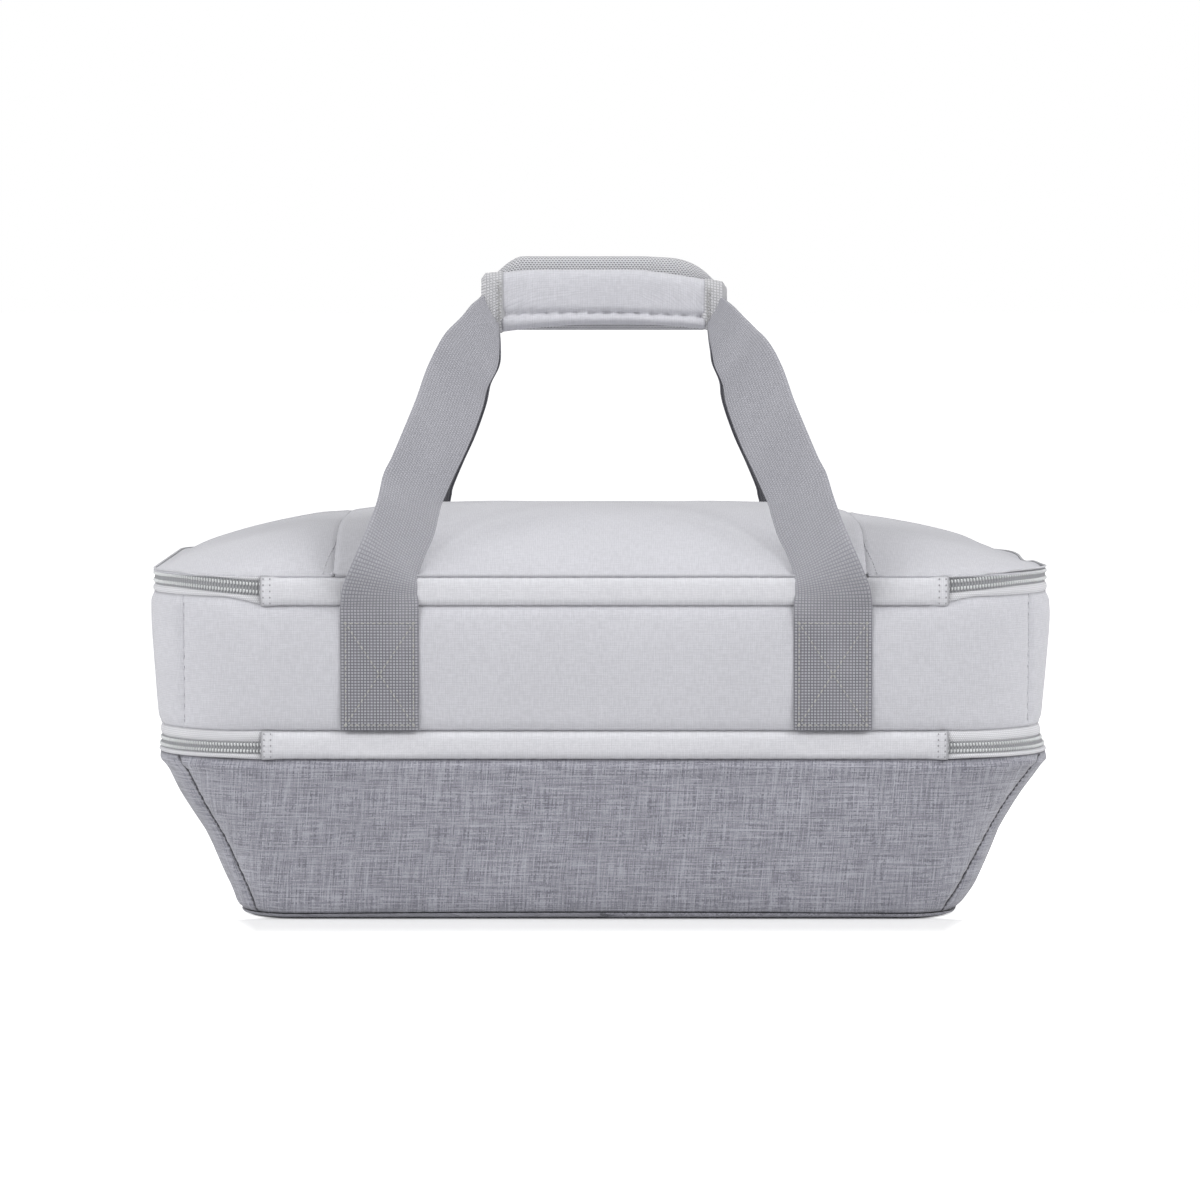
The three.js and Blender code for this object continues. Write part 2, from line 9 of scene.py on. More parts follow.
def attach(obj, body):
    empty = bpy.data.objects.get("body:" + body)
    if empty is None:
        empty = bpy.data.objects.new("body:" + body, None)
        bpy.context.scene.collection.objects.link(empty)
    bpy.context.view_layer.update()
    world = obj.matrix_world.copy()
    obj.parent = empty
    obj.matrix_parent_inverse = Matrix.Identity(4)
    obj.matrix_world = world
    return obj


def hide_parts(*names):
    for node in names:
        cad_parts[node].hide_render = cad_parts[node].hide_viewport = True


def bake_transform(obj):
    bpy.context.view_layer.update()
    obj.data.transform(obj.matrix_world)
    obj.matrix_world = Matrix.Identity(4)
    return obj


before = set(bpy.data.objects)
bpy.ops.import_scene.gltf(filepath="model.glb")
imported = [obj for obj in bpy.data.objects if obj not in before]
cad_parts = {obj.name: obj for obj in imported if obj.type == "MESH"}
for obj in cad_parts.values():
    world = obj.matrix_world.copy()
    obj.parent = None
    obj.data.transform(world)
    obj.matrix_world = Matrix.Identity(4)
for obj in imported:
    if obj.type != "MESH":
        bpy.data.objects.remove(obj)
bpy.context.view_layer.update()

scene = bpy.context.scene
MM = 0.001

# Heights of the stacked sections
FOOT_ROLL = 0.005
BASE_TOP = 0.0791
LOWER_ZIP = 0.0863
WALL_BOTTOM = 0.0935
WALL_TOP = 0.1536
UPPER_ZIP = 0.16115
RIM = 0.1687
DOME_RISE = 0.0285
DOME_ROUNDNESS = 3.2
GRIP_HEIGHT = 0.3007

# Plan outline at each level: height, half width, half depth, corner radius
LEVELS = np.array([
    [0.0, 0.1745, 0.1241, 0.024],
    [FOOT_ROLL, 0.1785, 0.1281, 0.028],
    [0.04205, 0.19375, 0.1341, 0.039],
    [BASE_TOP, 0.215, 0.1401, 0.050],
    [WALL_BOTTOM, 0.2165, 0.141, 0.056],
    [WALL_TOP, 0.220, 0.142, 0.060],
    [RIM, 0.220, 0.142, 0.060],
])
FOOT_SEAM = 0.1665
BASE_SEAM = 0.2041
WALL_SEAM = 0.2026
LID_SEAM = 0.129
STRIP_END = 0.1637
RIGHT_END = 0.168

# Layers of the wall
CLOTH = 0.0014
BEHIND_SKIN = 0.0017
FOAM = 0.006
BOARD_THICKNESS = 0.0015
LINER = 0.0008
GAP = 0.0003
LINING_IN = BEHIND_SKIN + FOAM + GAP
RIM_PINCH = 0.35
LINING_LOW = RIM - (LINING_IN + LINER) * RIM_PINCH

# Webbing handles
STRAP_CENTRE = 0.1095
STRAP_DRIFT = 0.003
STRAP_WIDTH = 0.038
STRAP_THICKNESS = 0.0017
STRAP_LOW = WALL_BOTTOM + 0.0004
STRAP_SPLIT = 0.1491

STITCH_PITCH = 0.0026
SIDES = (("left", -1), ("right", 1))
HANDLES = (("back", -1), ("front", 1))


def smooth(t):
    t = np.clip(t, 0, 1)
    return t * t * (3 - 2 * t)


def bump(away, width, power=2):
    """1 at no distance, fading out over the width."""
    return np.exp(-((away / width) ** power))


def stack(*parts):
    """Points or places from their coordinates."""
    return np.stack(np.broadcast_arrays(*parts), axis=-1)


# ---- Finishes


def put(tree, socket, value):
    if isinstance(value, bpy.types.NodeSocket):
        tree.links.new(value, socket)
    else:
        socket.default_value = value


def add_node(tree, kind, inputs=(), **settings):
    """A node with its settings, and with values or other nodes' outputs put in its inputs."""
    made = tree.nodes.new(kind)
    for key, value in settings.items():
        setattr(made, key, value)
    for label, value in dict(inputs).items():
        put(tree, made.inputs[label], value)
    return made


class Finish:
    """A material with short calls that add and join its nodes."""

    def __init__(self, name, roughness, tint=(0, 0, 0), **shader_values):
        self.material = bpy.data.materials.new(name)
        self.material.use_nodes = True
        self.tree = self.material.node_tree
        self.shader = self.tree.nodes["Principled BSDF"]
        self.tint = np.array(tint)
        for label, value in {"Roughness": roughness, **shader_values}.items():
            self.shader.inputs[label.replace("_", " ")].default_value = value

    def grey(self, value):
        """A linear colour from a screen grey of 0 to 255 and the finish's small tint."""
        screen = (value + self.tint) / 255
        linear = np.where(screen <= 0.04045, screen / 12.92, ((screen + 0.055) / 1.055) ** 2.4)
        return (*linear.tolist(), 1.0)

    def node(self, kind, inputs=(), **settings):
        return add_node(self.tree, kind, inputs, **settings)

    def sum(self, operation, *values):
        return self.node("ShaderNodeMath", enumerate(values), operation=operation).outputs[0]

    def surface(self):
        """The piece's own UV map, in metres across and along it."""
        place = self.node("ShaderNodeUVMap", uv_map="surface").outputs[0]
        split = self.node("ShaderNodeSeparateXYZ", {"Vector": place})
        return place, split.outputs[0], split.outputs[1]

    def solid(self):
        return self.node("ShaderNodeTexCoord").outputs["Object"]

    def stretched(self, place, scale, detail=3.0, rough=0.55):
        scale = scale if isinstance(scale, tuple) else (scale, scale, scale)
        moved = self.node("ShaderNodeMapping", {"Vector": place, "Scale": scale}).outputs[0]
        inputs = {"Vector": moved, "Scale": 1.0, "Detail": detail, "Roughness": rough}
        return self.node("ShaderNodeTexNoise", inputs).outputs["Fac"]

    def ramp(self, value, low, high, out_low=0.0, out_high=1.0):
        inputs = {"Value": value, "From Min": low, "From Max": high, "To Min": out_low,
                  "To Max": out_high}
        return self.node("ShaderNodeMapRange", inputs, interpolation_type="SMOOTHSTEP").outputs[0]

    def blend(self, share, first, second):
        """Between two colours. The mix node's colours are its inputs 6 and 7 and its output 2."""
        inputs = {"Factor": share, 6: first, 7: second}
        return self.node("ShaderNodeMix", inputs, data_type="RGBA").outputs[2]

    def from_half(self, value):
        """How far the part after the point is from a half."""
        return self.sum("SUBTRACT", self.sum("FRACT", value), 0.5)

    def cells(self, across, along, wide, tall):
        """Distance from the middle of the nearest cell, with every second row set half a cell over."""
        row = self.sum("DIVIDE", along, tall)
        shift = self.sum("FRACT", self.sum("MULTIPLY", self.sum("FLOOR", row), 0.5))
        dx = self.from_half(self.sum("ADD", self.sum("DIVIDE", across, wide), shift))
        dy = self.from_half(row)
        squares = self.sum("ADD", self.sum("MULTIPLY", dx, dx), self.sum("MULTIPLY", dy, dy))
        return self.sum("SQRT", squares)

    def gaps(self, along, pitch, start, end):
        """1 in the gaps between even rows and 0 on the rows."""
        away = self.sum("ABSOLUTE", self.from_half(self.sum("DIVIDE", along, pitch)))
        return self.ramp(away, start, end)

    def with_painted_seam_shade(self, colour, dark, share):
        """Darkens the cloth where it turns down into a seam: painted shade, read from the attribute
        seam_shade.
        """
        shade = self.node("ShaderNodeAttribute", attribute_name="seam_shade").outputs["Fac"]
        return self.blend(self.sum("MULTIPLY", shade, share), colour, self.grey(dark))

    def weave(self, across, along, pitch):
        """The height of a plain weave, from 0 between the threads to 1 on top of them."""
        u, v = (self.sum("SINE", self.sum("MULTIPLY", run, math.pi / pitch)) for run in (across, along))
        top = self.sum("GREATER_THAN", self.sum("MULTIPLY", u, v), 0.0)
        kept = self.sum("MULTIPLY", self.sum("ABSOLUTE", u), top)
        rest = self.sum("MULTIPLY", self.sum("ABSOLUTE", v), self.sum("SUBTRACT", 1.0, top))
        return self.sum("ADD", kept, rest)

    def colour(self, value):
        put(self.tree, self.shader.inputs["Base Color"], value)

    def rough(self, value, low, high):
        put(self.tree, self.shader.inputs["Roughness"], self.ramp(value, 0.3, 0.7, low, high))

    def relief(self, *layers):
        """Bumps, each given as height, strength and depth in metres."""
        last = {}
        for height, strength, depth in layers:
            inputs = {"Height": height, "Strength": strength, "Distance": depth, **last}
            last = {"Normal": self.node("ShaderNodeBump", inputs).outputs[0]}
        put(self.tree, self.shader.inputs["Normal"], last["Normal"])


def woven_cloth(name, light, dark, tint, slub):
    f = Finish(name, 0.92, tint, Sheen_Weight=0.25, Sheen_Roughness=0.5)
    place, across, along = f.surface()
    warp = f.stretched(place, (1500, 190, 1), 1.0)
    weft = f.stretched(place, (190, 1500, 1), 1.0)
    threads = f.sum("ADD", f.sum("MULTIPLY", warp, 0.5), f.sum("MULTIPLY", weft, 0.5))
    mottle = f.stretched(f.solid(), 22, 4.0)
    fleck = f.sum("ADD", f.ramp(threads, 0.36, 0.64), f.ramp(mottle, 0.35, 0.7, -0.15, 0.15))
    height = f.weave(across, along, 0.9 * MM)
    hollow = f.ramp(height, 0.1, 0.75, 0.5, 0.0)
    cloth = f.blend(hollow, f.blend(fleck, f.grey(dark), f.grey(light)), f.grey(dark - 25))
    f.colour(f.with_painted_seam_shade(cloth, 96, 0.6))
    f.rough(threads, 0.96, 0.84)
    f.relief((height, slub, 0.00018), (threads, 0.35, 0.0003), (mottle, 0.12, 0.0015))
    return f.material


def heather():
    f = Finish("Heather cloth", 0.95, (0, 0, 10), Sheen_Weight=0.3, Sheen_Roughness=0.6)
    place, across, along = f.surface()
    warp = f.stretched(place, (1700, 60, 1), 2.0, 0.6)
    weft = f.stretched(place, (60, 1700, 1), 2.0, 0.6)
    tall_slub = f.stretched(place, (1200, 24, 1), 1.0, 0.5)
    wide_slub = f.stretched(place, (24, 1200, 1), 1.0, 0.5)
    knots = f.stretched(place, (800, 800, 1), 2.0, 0.5)
    mottle = f.stretched(f.solid(), 26, 4.0)
    up = f.blend(f.ramp(warp, 0.36, 0.64), f.grey(108), f.grey(176))
    over = f.blend(f.ramp(weft, 0.36, 0.64), f.grey(110), f.grey(178))
    cloth = f.blend(f.ramp(knots, 0.35, 0.65), up, over)
    height = f.weave(across, along, 0.6 * MM)
    for source, low, high, at_low, at_high, tone in (
            (tall_slub, 0.58, 0.72, 0.0, 0.42, 196),
            (wide_slub, 0.58, 0.72, 0.0, 0.42, 194),
            (wide_slub, 0.3, 0.4, 0.45, 0.0, 108),
            (mottle, 0.3, 0.7, 0.0, 0.14, 122),
            (height, 0.0, 0.45, 0.25, 0.0, 92)):
        cloth = f.blend(f.ramp(source, low, high, at_low, at_high), cloth, f.grey(tone))
    f.colour(f.with_painted_seam_shade(cloth, 48, 0.85))
    f.relief((height, 0.4, 0.00025), (warp, 0.25, 0.0004), (weft, 0.25, 0.0004))
    return f.material


def ribbed_webbing(name, light, dark, low=(), inner=(), tint=3):
    """Webbing in rows of raised beads. It may be darker at its low end, where it is stitched flat, by
    painted shade, and deeper where the attribute inner_face says that its other face is."""
    f = Finish(name, 0.85, (0, 0, tint), Sheen_Weight=0.2, Sheen_Roughness=0.5)
    place, across, along = f.surface()
    rows = f.gaps(along, 0.00143, 0.22, 0.42)
    columns = f.gaps(across, 0.00155, 0.26, 0.46)
    gap = f.sum("MAXIMUM", f.sum("MULTIPLY", rows, 0.9), columns)
    fray = f.stretched(place, (1300, 500, 1), 2.0)
    wear = f.stretched(f.solid(), 30)
    crest, hollow = f.grey(light), f.grey(dark)
    # Painted shade: the low end's darker crest and hollow colours fade out up the strap
    if low:
        above_painted_shade = f.ramp(along, 0.042, 0.085)
        crest, hollow = (f.blend(above_painted_shade, f.grey(at), above) for at, above in zip(low, (crest, hollow)))
    top = f.blend(f.ramp(fray, 0.3, 0.7, 0.0, 0.16), crest, f.grey(96))
    face = f.blend(gap, top, hollow)
    if inner:
        side = f.node("ShaderNodeAttribute", attribute_name="inner_face").outputs["Fac"]
        face = f.blend(side, face, f.blend(gap, *map(f.grey, inner)))
    f.colour(f.blend(f.ramp(wear, 0.4, 0.75, 0.0, 0.1), face, f.grey(205)))
    f.relief((f.sum("SUBTRACT", 1.0, gap), 0.6, 0.0004), (fray, 0.2, 0.0003))
    return f.material


def spacer_mesh():
    f = Finish("Spacer mesh", 0.95, (0, 0, 4), Sheen_Weight=0.15, Sheen_Roughness=0.5)
    place, across, along = f.surface()
    hole = f.ramp(f.cells(across, along, 0.0016, 0.0011), 0.2, 0.42, 1.0, 0.0)
    yarn = f.stretched(place, (1500, 1500, 1), 2.0)
    f.colour(f.blend(hole, f.blend(yarn, f.grey(196), f.grey(220)), f.grey(140)))
    f.relief((f.sum("SUBTRACT", 1.0, hole), 0.8, 0.0006), (yarn, 0.25, 0.0003))
    return f.material


def zip_facing():
    f = Finish("Zip facing", 0.9, (0, 0, 4), Sheen_Weight=0.15)
    _, across, along = f.surface()
    knit = f.ramp(f.cells(across, along, 0.0011, 0.0009), 0.25, 0.55, 1.0, 0.0)
    wear = f.stretched(f.solid(), 40)
    top = f.blend(f.ramp(wear, 0.3, 0.7), f.grey(214), f.grey(224))
    f.colour(f.with_painted_seam_shade(f.blend(knit, f.grey(192), top), 110, 0.5))
    f.relief((knit, 0.45, 0.00025), (wear, 0.1, 0.001))
    return f.material


# A grey sheet under the coil, darker at each gap between its teeth: painted shade where the pale tape
# lies in shadow.
def painted_coil_shade():
    f = Finish("Painted coil shade", 0.85, (0, 1, 4))
    shade_between_teeth = f.gaps(f.surface()[1], 0.00162, 0.2, 0.4)
    shade = f.stretched(f.solid(), 60, 2.0)
    f.colour(f.blend(shade_between_teeth, f.blend(shade, f.grey(150), f.grey(162)), f.grey(132)))
    f.relief((shade_between_teeth, 0.3, 0.0003))
    return f.material


def foil_lining():
    f = Finish("Foil lining", 0.3, (0, 1, 4), Metallic=0.85)
    _, across, along = f.surface()
    crease = f.stretched(f.solid(), 70, 5.0, 0.6)
    embossed = f.ramp(f.cells(across, along, 0.006, 0.006), 0.3, 0.5, 1.0, 0.0)
    f.colour(f.blend(f.ramp(crease, 0.3, 0.7), f.grey(196), f.grey(226)))
    f.rough(f.stretched(f.solid(), 420, 2.0), 0.2, 0.42)
    f.relief((embossed, 0.2, 0.0004), (crease, 0.5, 0.0025))
    return f.material


def open_foam():
    f = Finish("Open-cell foam", 1.0, (2, 1, -4))
    cell = f.node("ShaderNodeTexVoronoi", {"Vector": f.solid(), "Scale": 900.0}).outputs["Distance"]
    top = f.blend(f.stretched(f.solid(), 30), f.grey(224), f.grey(240))
    f.colour(f.blend(f.ramp(cell, 0.1, 0.5, 0.3, 0.0), top, f.grey(170)))
    f.relief((cell, 0.4, 0.0005))
    return f.material


def grained(name, roughness, tones, fine, relief, tint=(0, 0, 0), rough=None, patches=None,
            **shader_values):
    """A finish with a fine noise (scale, detail) for its relief (strength, depth). Where given, rough
    is the range of its roughness, and patches a wider noise (scale, detail, low, high) for its tones."""
    f = Finish(name, roughness, tint, **shader_values)
    grain = f.stretched(f.solid(), *fine)
    share = grain
    if patches:
        size, detail, low, high = patches
        share = f.ramp(f.stretched(f.solid(), size, detail), low, high)
    f.colour(f.blend(share, *map(f.grey, tones)))
    if rough:
        f.rough(grain, *rough)
    f.relief((grain, *relief))
    return f.material


def sewing_thread(name, light, dark, tint):
    return grained(name, 0.6, (dark, light), ((2600, 2600, 900), 1.0), (0.4, 0.0002), tint,
                   Sheen_Weight=0.3)


PALE = woven_cloth("Pale woven cloth", 206, 195, (0, 0, 6), 0.25)
STRIP = woven_cloth("Pale strip cloth", 219, 208, (0, 0, 5), 0.22)
HEATHER = heather()
# (168, 98) are the painted-shade colours of the straps' low ends
WEBBING = ribbed_webbing("Handle webbing", 178, 146, (168, 98), (84, 52), 7)
BINDING = ribbed_webbing("Grip binding", 208, 168)
SPACER = spacer_mesh()
FACING = zip_facing()
COIL = grained("Nylon coil", 0.32, (196, 212), (900, 2.0), (0.1, 0.0002), (0, 2, 3), (0.26, 0.4),
               Coat_Weight=0.25, Coat_Roughness=0.2, IOR=1.53)
PAINTED_COIL_SHADE = painted_coil_shade()
DARK_THREAD = sewing_thread("Seam thread", 196, 178, (0, 0, 6))
HEATHER_THREAD = sewing_thread("Base seam thread", 92, 66, (0, 0, 6))
STRAP_THREAD = sewing_thread("Box stitch thread", 175, 154, (2, 1, -2))
# The strip's stitches are real, but their darker colour is painted shade of their needle holes
STRIP_THREAD = sewing_thread("Strip end thread", 160, 138, (0, 0, 4))
FOIL = foil_lining()
OPEN_FOAM = open_foam()
BOARD = grained("Stiff board", 0.62, (74, 104), ((60, 900, 60), 3.0), (0.15, 0.0004), rough=(0.5, 0.75),
                patches=(18, 5.0, 0.45, 0.7))
METAL = grained("Slider metal", 0.3, (168, 204), ((300, 3000, 300), 3.0), (0.12, 0.0001),
                rough=(0.24, 0.42), patches=(240, 3.0, 0.35, 0.7), Metallic=1.0)
PULL = grained("Moulded pull", 0.5, (140, 162), (1400, 2.0), (0.2, 0.0002), (0, 0, 6), (0.42, 0.6),
               (120, 3.0, 0.4, 0.7), Coat_Weight=0.1)
HOOK = grained("Hook and loop", 1.0, (146, 196), (1800, 2.0), (0.8, 0.0008), (0, 0, 5), Sheen_Weight=0.5)


# ---- The carrier's outline


def plan(height):
    return [np.interp(height, LEVELS[:, 0], LEVELS[:, k]) for k in (1, 2, 3)]


def half_girth(height):
    x, y, r = plan(height)
    return 2 * (x - r) + r * math.pi + 2 * (y - r)


def around(along, height):
    """The distance from the middle of the hinge side, whichever way round is shorter."""
    half = half_girth(height)
    return np.abs(np.mod(along + half, 2 * half) - half)


def outline(along, height):
    """Points and outward directions on the outline, by distance from the middle of the hinge side."""
    x, y, r = plan(height)
    quarter = r * math.pi / 2
    run, side = x - r, 2 * (y - r)
    half = 2 * run + 2 * quarter + side
    along = np.mod(along + half, 2 * half) - half
    sign = np.where(along < 0, -1.0, 1.0)
    a = np.abs(along)
    first = np.clip((a - run) / r, 0, math.pi / 2)
    second = np.clip((a - run - quarter - side) / r, 0, math.pi / 2)
    px = np.minimum(a, run) + r * np.sin(first) - r * (1 - np.cos(second))
    px = px - np.maximum(a - run - 2 * quarter - side, 0)
    py = -y + r * (1 - np.cos(first)) + np.clip(a - run - quarter, 0, side) + r * np.sin(second)
    turn = first + second
    return px * sign, py, np.sin(turn) * sign, -np.cos(turn)


def seam_along(half_width, height):
    """Distance along the outline to where it is half_width from the middle, on the hinge side."""
    x, _, r = plan(height)
    run = x - r
    lean = np.arcsin(np.clip((half_width - run) / r, 0, 1))
    return np.where(half_width <= run, half_width, run + r * lean)


def base_seam(height, side):
    """Distance along the outline to a corner seam of the base. The right ones lean out further."""
    share = np.clip(height / BASE_TOP, 0, 1)
    top = BASE_SEAM + (0.0064 if side == "right" else 0.0)
    return seam_along(FOOT_SEAM + (top - FOOT_SEAM) * share, height)


def wall_seam(height, side):
    return seam_along(WALL_SEAM + (0.0066 if side == "right" else 0.0), height)


def drooped(x, y, height):
    """How far the rim sags at the right end."""
    sag = 0.0042 * bump(y - 0.055, 0.055)
    return sag * smooth((x - 0.185) / 0.03) * smooth((height - 0.145) / 0.014)


def settled(nx, height):
    """How far the two ends stand out or in where the carrier has settled out of true."""
    right = 0.0045 * bump(height - 0.079, np.where(height < 0.079, 0.016, 0.008))
    left = 0.0016 * bump(height - 0.0807, 0.006)
    left = left - 0.0027 * smooth((0.062 - height) / 0.03) * (0.4 + 0.6 * smooth(height / 0.015))
    right = right - 0.0022 * smooth((0.016 - height) / 0.012)
    return np.where(nx > 0, right, left) * smooth(np.abs(nx))


def on_wall(along, height, off):
    px, py, nx, ny = outline(along, height)
    off = off + settled(nx, height)
    return stack(px + nx * off, py + ny * off, height - drooped(px, py, height))


def wall_path(along, height, off):
    """Points round the outline and their outward directions."""
    points = on_wall(along, height, off)
    return points, points - on_wall(along, height, off - 0.01)


def ring_points(height, inset, z, count=220):
    """A level ring inside the outline, with its first point again at its end."""
    along = np.arange(count + 1) / count * 2 * half_girth(height)
    ring = on_wall(along, height, -inset)
    ring[:, 2] = z
    return ring, along


def lumps(points, size, seed):
    """Soft unevenness from -1 to 1 over points in metres."""
    flat = points.reshape(-1, 3) / size + seed * 7.3
    return np.array([noise.noise(Vector(p)) for p in flat]).reshape(points.shape[:-1])


# ---- Meshes


def add_object(name, data):
    piece = bpy.data.objects.new(name, data)
    scene.collection.objects.link(piece)
    return piece


def as_made(piece):
    """A mesh of the piece with its modifiers applied."""
    bpy.context.view_layer.update()
    return bpy.data.meshes.new_from_object(piece.evaluated_get(bpy.context.evaluated_depsgraph_get()))


def coordinates(mesh):
    flat = np.empty(len(mesh.vertices) * 3)
    mesh.vertices.foreach_get("co", flat)
    return flat.reshape(-1, 3)


def round_shading(mesh, sharp=None):
    mesh.polygons.foreach_set("use_smooth", [True] * len(mesh.polygons))
    if sharp:
        mesh.set_sharp_from_angle(angle=math.radians(sharp))


def finish_mesh(name, points, faces, spots, material, sharp=48, shade=None):
    """A closed piece from points, faces and a place on the surface for each face corner."""
    mesh = bpy.data.meshes.new(name)
    mesh.from_pydata(points.tolist(), [], faces)
    mesh.uv_layers.new(name="surface").data.foreach_set("uv", np.asarray(spots, np.float32).ravel())
    # shade is the painted seam shade at each point
    if shade is not None:
        painted = mesh.attributes.new("seam_shade", "FLOAT", "POINT")
        painted.data.foreach_set("value", shade.astype(np.float32))
    shape = bmesh.new()
    shape.from_mesh(mesh)
    bmesh.ops.remove_doubles(shape, verts=shape.verts, dist=1e-6)
    bmesh.ops.dissolve_degenerate(shape, edges=shape.edges, dist=1e-7)
    if shape.calc_volume(signed=True) < 0:
        bmesh.ops.reverse_faces(shape, faces=shape.faces)
    shape.to_mesh(mesh)
    shape.free()
    mesh.materials.append(material)
    round_shading(mesh, sharp)
    return add_object(name, mesh)


def normals_of(points, hint):
    normal = np.cross(np.gradient(points, axis=0), np.gradient(points, axis=1))
    length = np.linalg.norm(normal, axis=-1, keepdims=True)
    normal = np.where(length > 1e-12, normal / np.maximum(length, 1e-12), hint)
    return normal if (normal * hint).sum() > 0 else -normal


def edge_shade(points, side_share, end_share, reach=0.6 * MM):
    """Painted seam shade at the edges of a grid of points, gone further than about twice the reach from
    them.
    """
    shades = []
    for axis, share in ((0, side_share), (1, end_share)):
        steps = np.linalg.norm(np.diff(points, axis=axis), axis=-1)
        start = np.zeros_like(np.take(steps, [0], axis=axis))
        run = np.concatenate([start, np.cumsum(steps, axis=axis)], axis=axis)
        away = np.minimum(run, np.take(run, [-1], axis=axis) - run)
        shades.append(share * bump(away, reach))
    return np.maximum(*shades)


# dark holds the shares of painted seam shade at a sheet's sides and at its ends
def thick_sheet(name, points, spots, hint, thickness, material, sharp=48, dark=(1.0, 1.0)):
    """A sheet of cloth with rounded edges, from a grid of points on its outer face."""
    rows, columns = points.shape[:2]
    depth = thickness if np.ndim(thickness) == 0 else thickness[..., None]
    inner = points - normals_of(points, hint) * depth
    rim = [(0, j) for j in range(columns)] + [(i, columns - 1) for i in range(1, rows)]
    rim += [(rows - 1, j) for j in range(columns - 2, -1, -1)] + [(i, 0) for i in range(rows - 2, 0, -1)]
    middle = []
    for i, j in rim:
        edge = (points[i, j] + inner[i, j]) / 2
        away = points[i, j] - points[min(max(i, 1), rows - 2), min(max(j, 1), columns - 2)]
        length = np.linalg.norm(away)
        reach = np.linalg.norm(points[i, j] - inner[i, j]) * 0.45
        middle.append(edge + away / length * reach if length > 1e-9 else edge)
    count = rows * columns
    verts = np.concatenate([points.reshape(-1, 3), inner.reshape(-1, 3), np.array(middle)])
    flat = spots.reshape(-1, 2)
    faces, places = [], []
    for i in range(rows - 1):
        for j in range(columns - 1):
            a, b = i * columns + j, i * columns + j + 1
            c, d = b + columns, a + columns
            faces += [(a, b, c, d), (count + d, count + c, count + b, count + a)]
            places += [flat[k] for k in (a, b, c, d, d, c, b, a)]
    for k, (i, j) in enumerate(rim):
        m = (k + 1) % len(rim)
        a, b = i * columns + j, rim[m][0] * columns + rim[m][1]
        faces.append((b, a, 2 * count + k, 2 * count + m))
        faces.append((2 * count + m, 2 * count + k, count + a, count + b))
        places += [flat[b], flat[a], flat[a], flat[b]] * 2
    shade = edge_shade(points, *dark)
    rim_shade = [shade[i, j] for i, j in rim]
    shade = np.concatenate([shade.ravel(), shade.ravel(), rim_shade])
    return finish_mesh(name, verts, faces, places, material, sharp, shade)


def closed_loft(name, rings, spots, material, sharp=48):
    """A closed body through a stack of rings, with a fan over each end. A ring ends with its first
    point again."""
    rings, spots = np.array(rings)[:, :-1], np.asarray(spots)
    levels, count = rings.shape[:2]
    ends = [rings[0].mean(axis=0), rings[-1].mean(axis=0)]
    verts = np.concatenate([rings.reshape(-1, 3), ends])
    low, high = levels * count, levels * count + 1
    last = (levels - 1) * count
    faces, places = [], []
    for i in range(levels - 1):
        for j in range(count):
            k = (j + 1) % count
            faces.append((i * count + j, i * count + k, (i + 1) * count + k, (i + 1) * count + j))
            places += [spots[i, j], spots[i, j + 1], spots[i + 1, j + 1], spots[i + 1, j]]
    for j in range(count):
        k = (j + 1) % count
        faces += [(k, j, low), (last + j, last + k, high)]
        places += [rings[0, k, :2], rings[0, j, :2], ends[0][:2]]
        places += [rings[-1, j, :2], rings[-1, k, :2], ends[1][:2]]
    return finish_mesh(name, verts, faces, places, material, sharp)


def spread(length, step):
    """Shares of a length with closer steps at both ends, for a turned edge."""
    near = np.array([0, 0.5, 1.1, 1.9, 3.0, 4.4]) * MM
    count = max(int((length - 2 * near[-1]) / step), 2)
    middle = np.linspace(near[-1], length - near[-1], count + 1)[1:-1]
    return np.concatenate([near, middle, length - near[::-1]]) / length


def dress(piece, body, slot, *nodes):
    if nodes:
        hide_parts(*nodes)
    if body:
        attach(piece, body)
    return piece


def bend_with_hinge(piece):
    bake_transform(piece)


def bend_with_root(piece, name):
    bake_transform(piece)


# ---- Sewn panels


def seam_ditch(edge, deep=0.0011, wide=0.0024):
    return deep * bump(edge, wide)


def pucker(edge, place, size, seed, reach=0.007, height=0.00028):
    """Small gathers that a row of stitches draws into the cloth beside it."""
    wander = np.sin(place / 0.031 + seed) * 1.3
    return height * np.exp(-edge / reach) * np.sin(2 * math.pi * place / size + wander + seed)


def strap_press(along):
    """How far the sewn straps press the wall in, from 0 to 1, by distance from the middle."""
    reach = STRAP_WIDTH / 2 + 0.002
    return sum(bump(np.abs(along - sign * STRAP_CENTRE - STRAP_DRIFT), reach, 6) for sign in (-1, 1))


def pressed(off, press):
    """The cloth's height off the wall where a strap holds it down."""
    held = 0.9 * MM
    return off * (1 - press) + np.minimum(off, held) * press


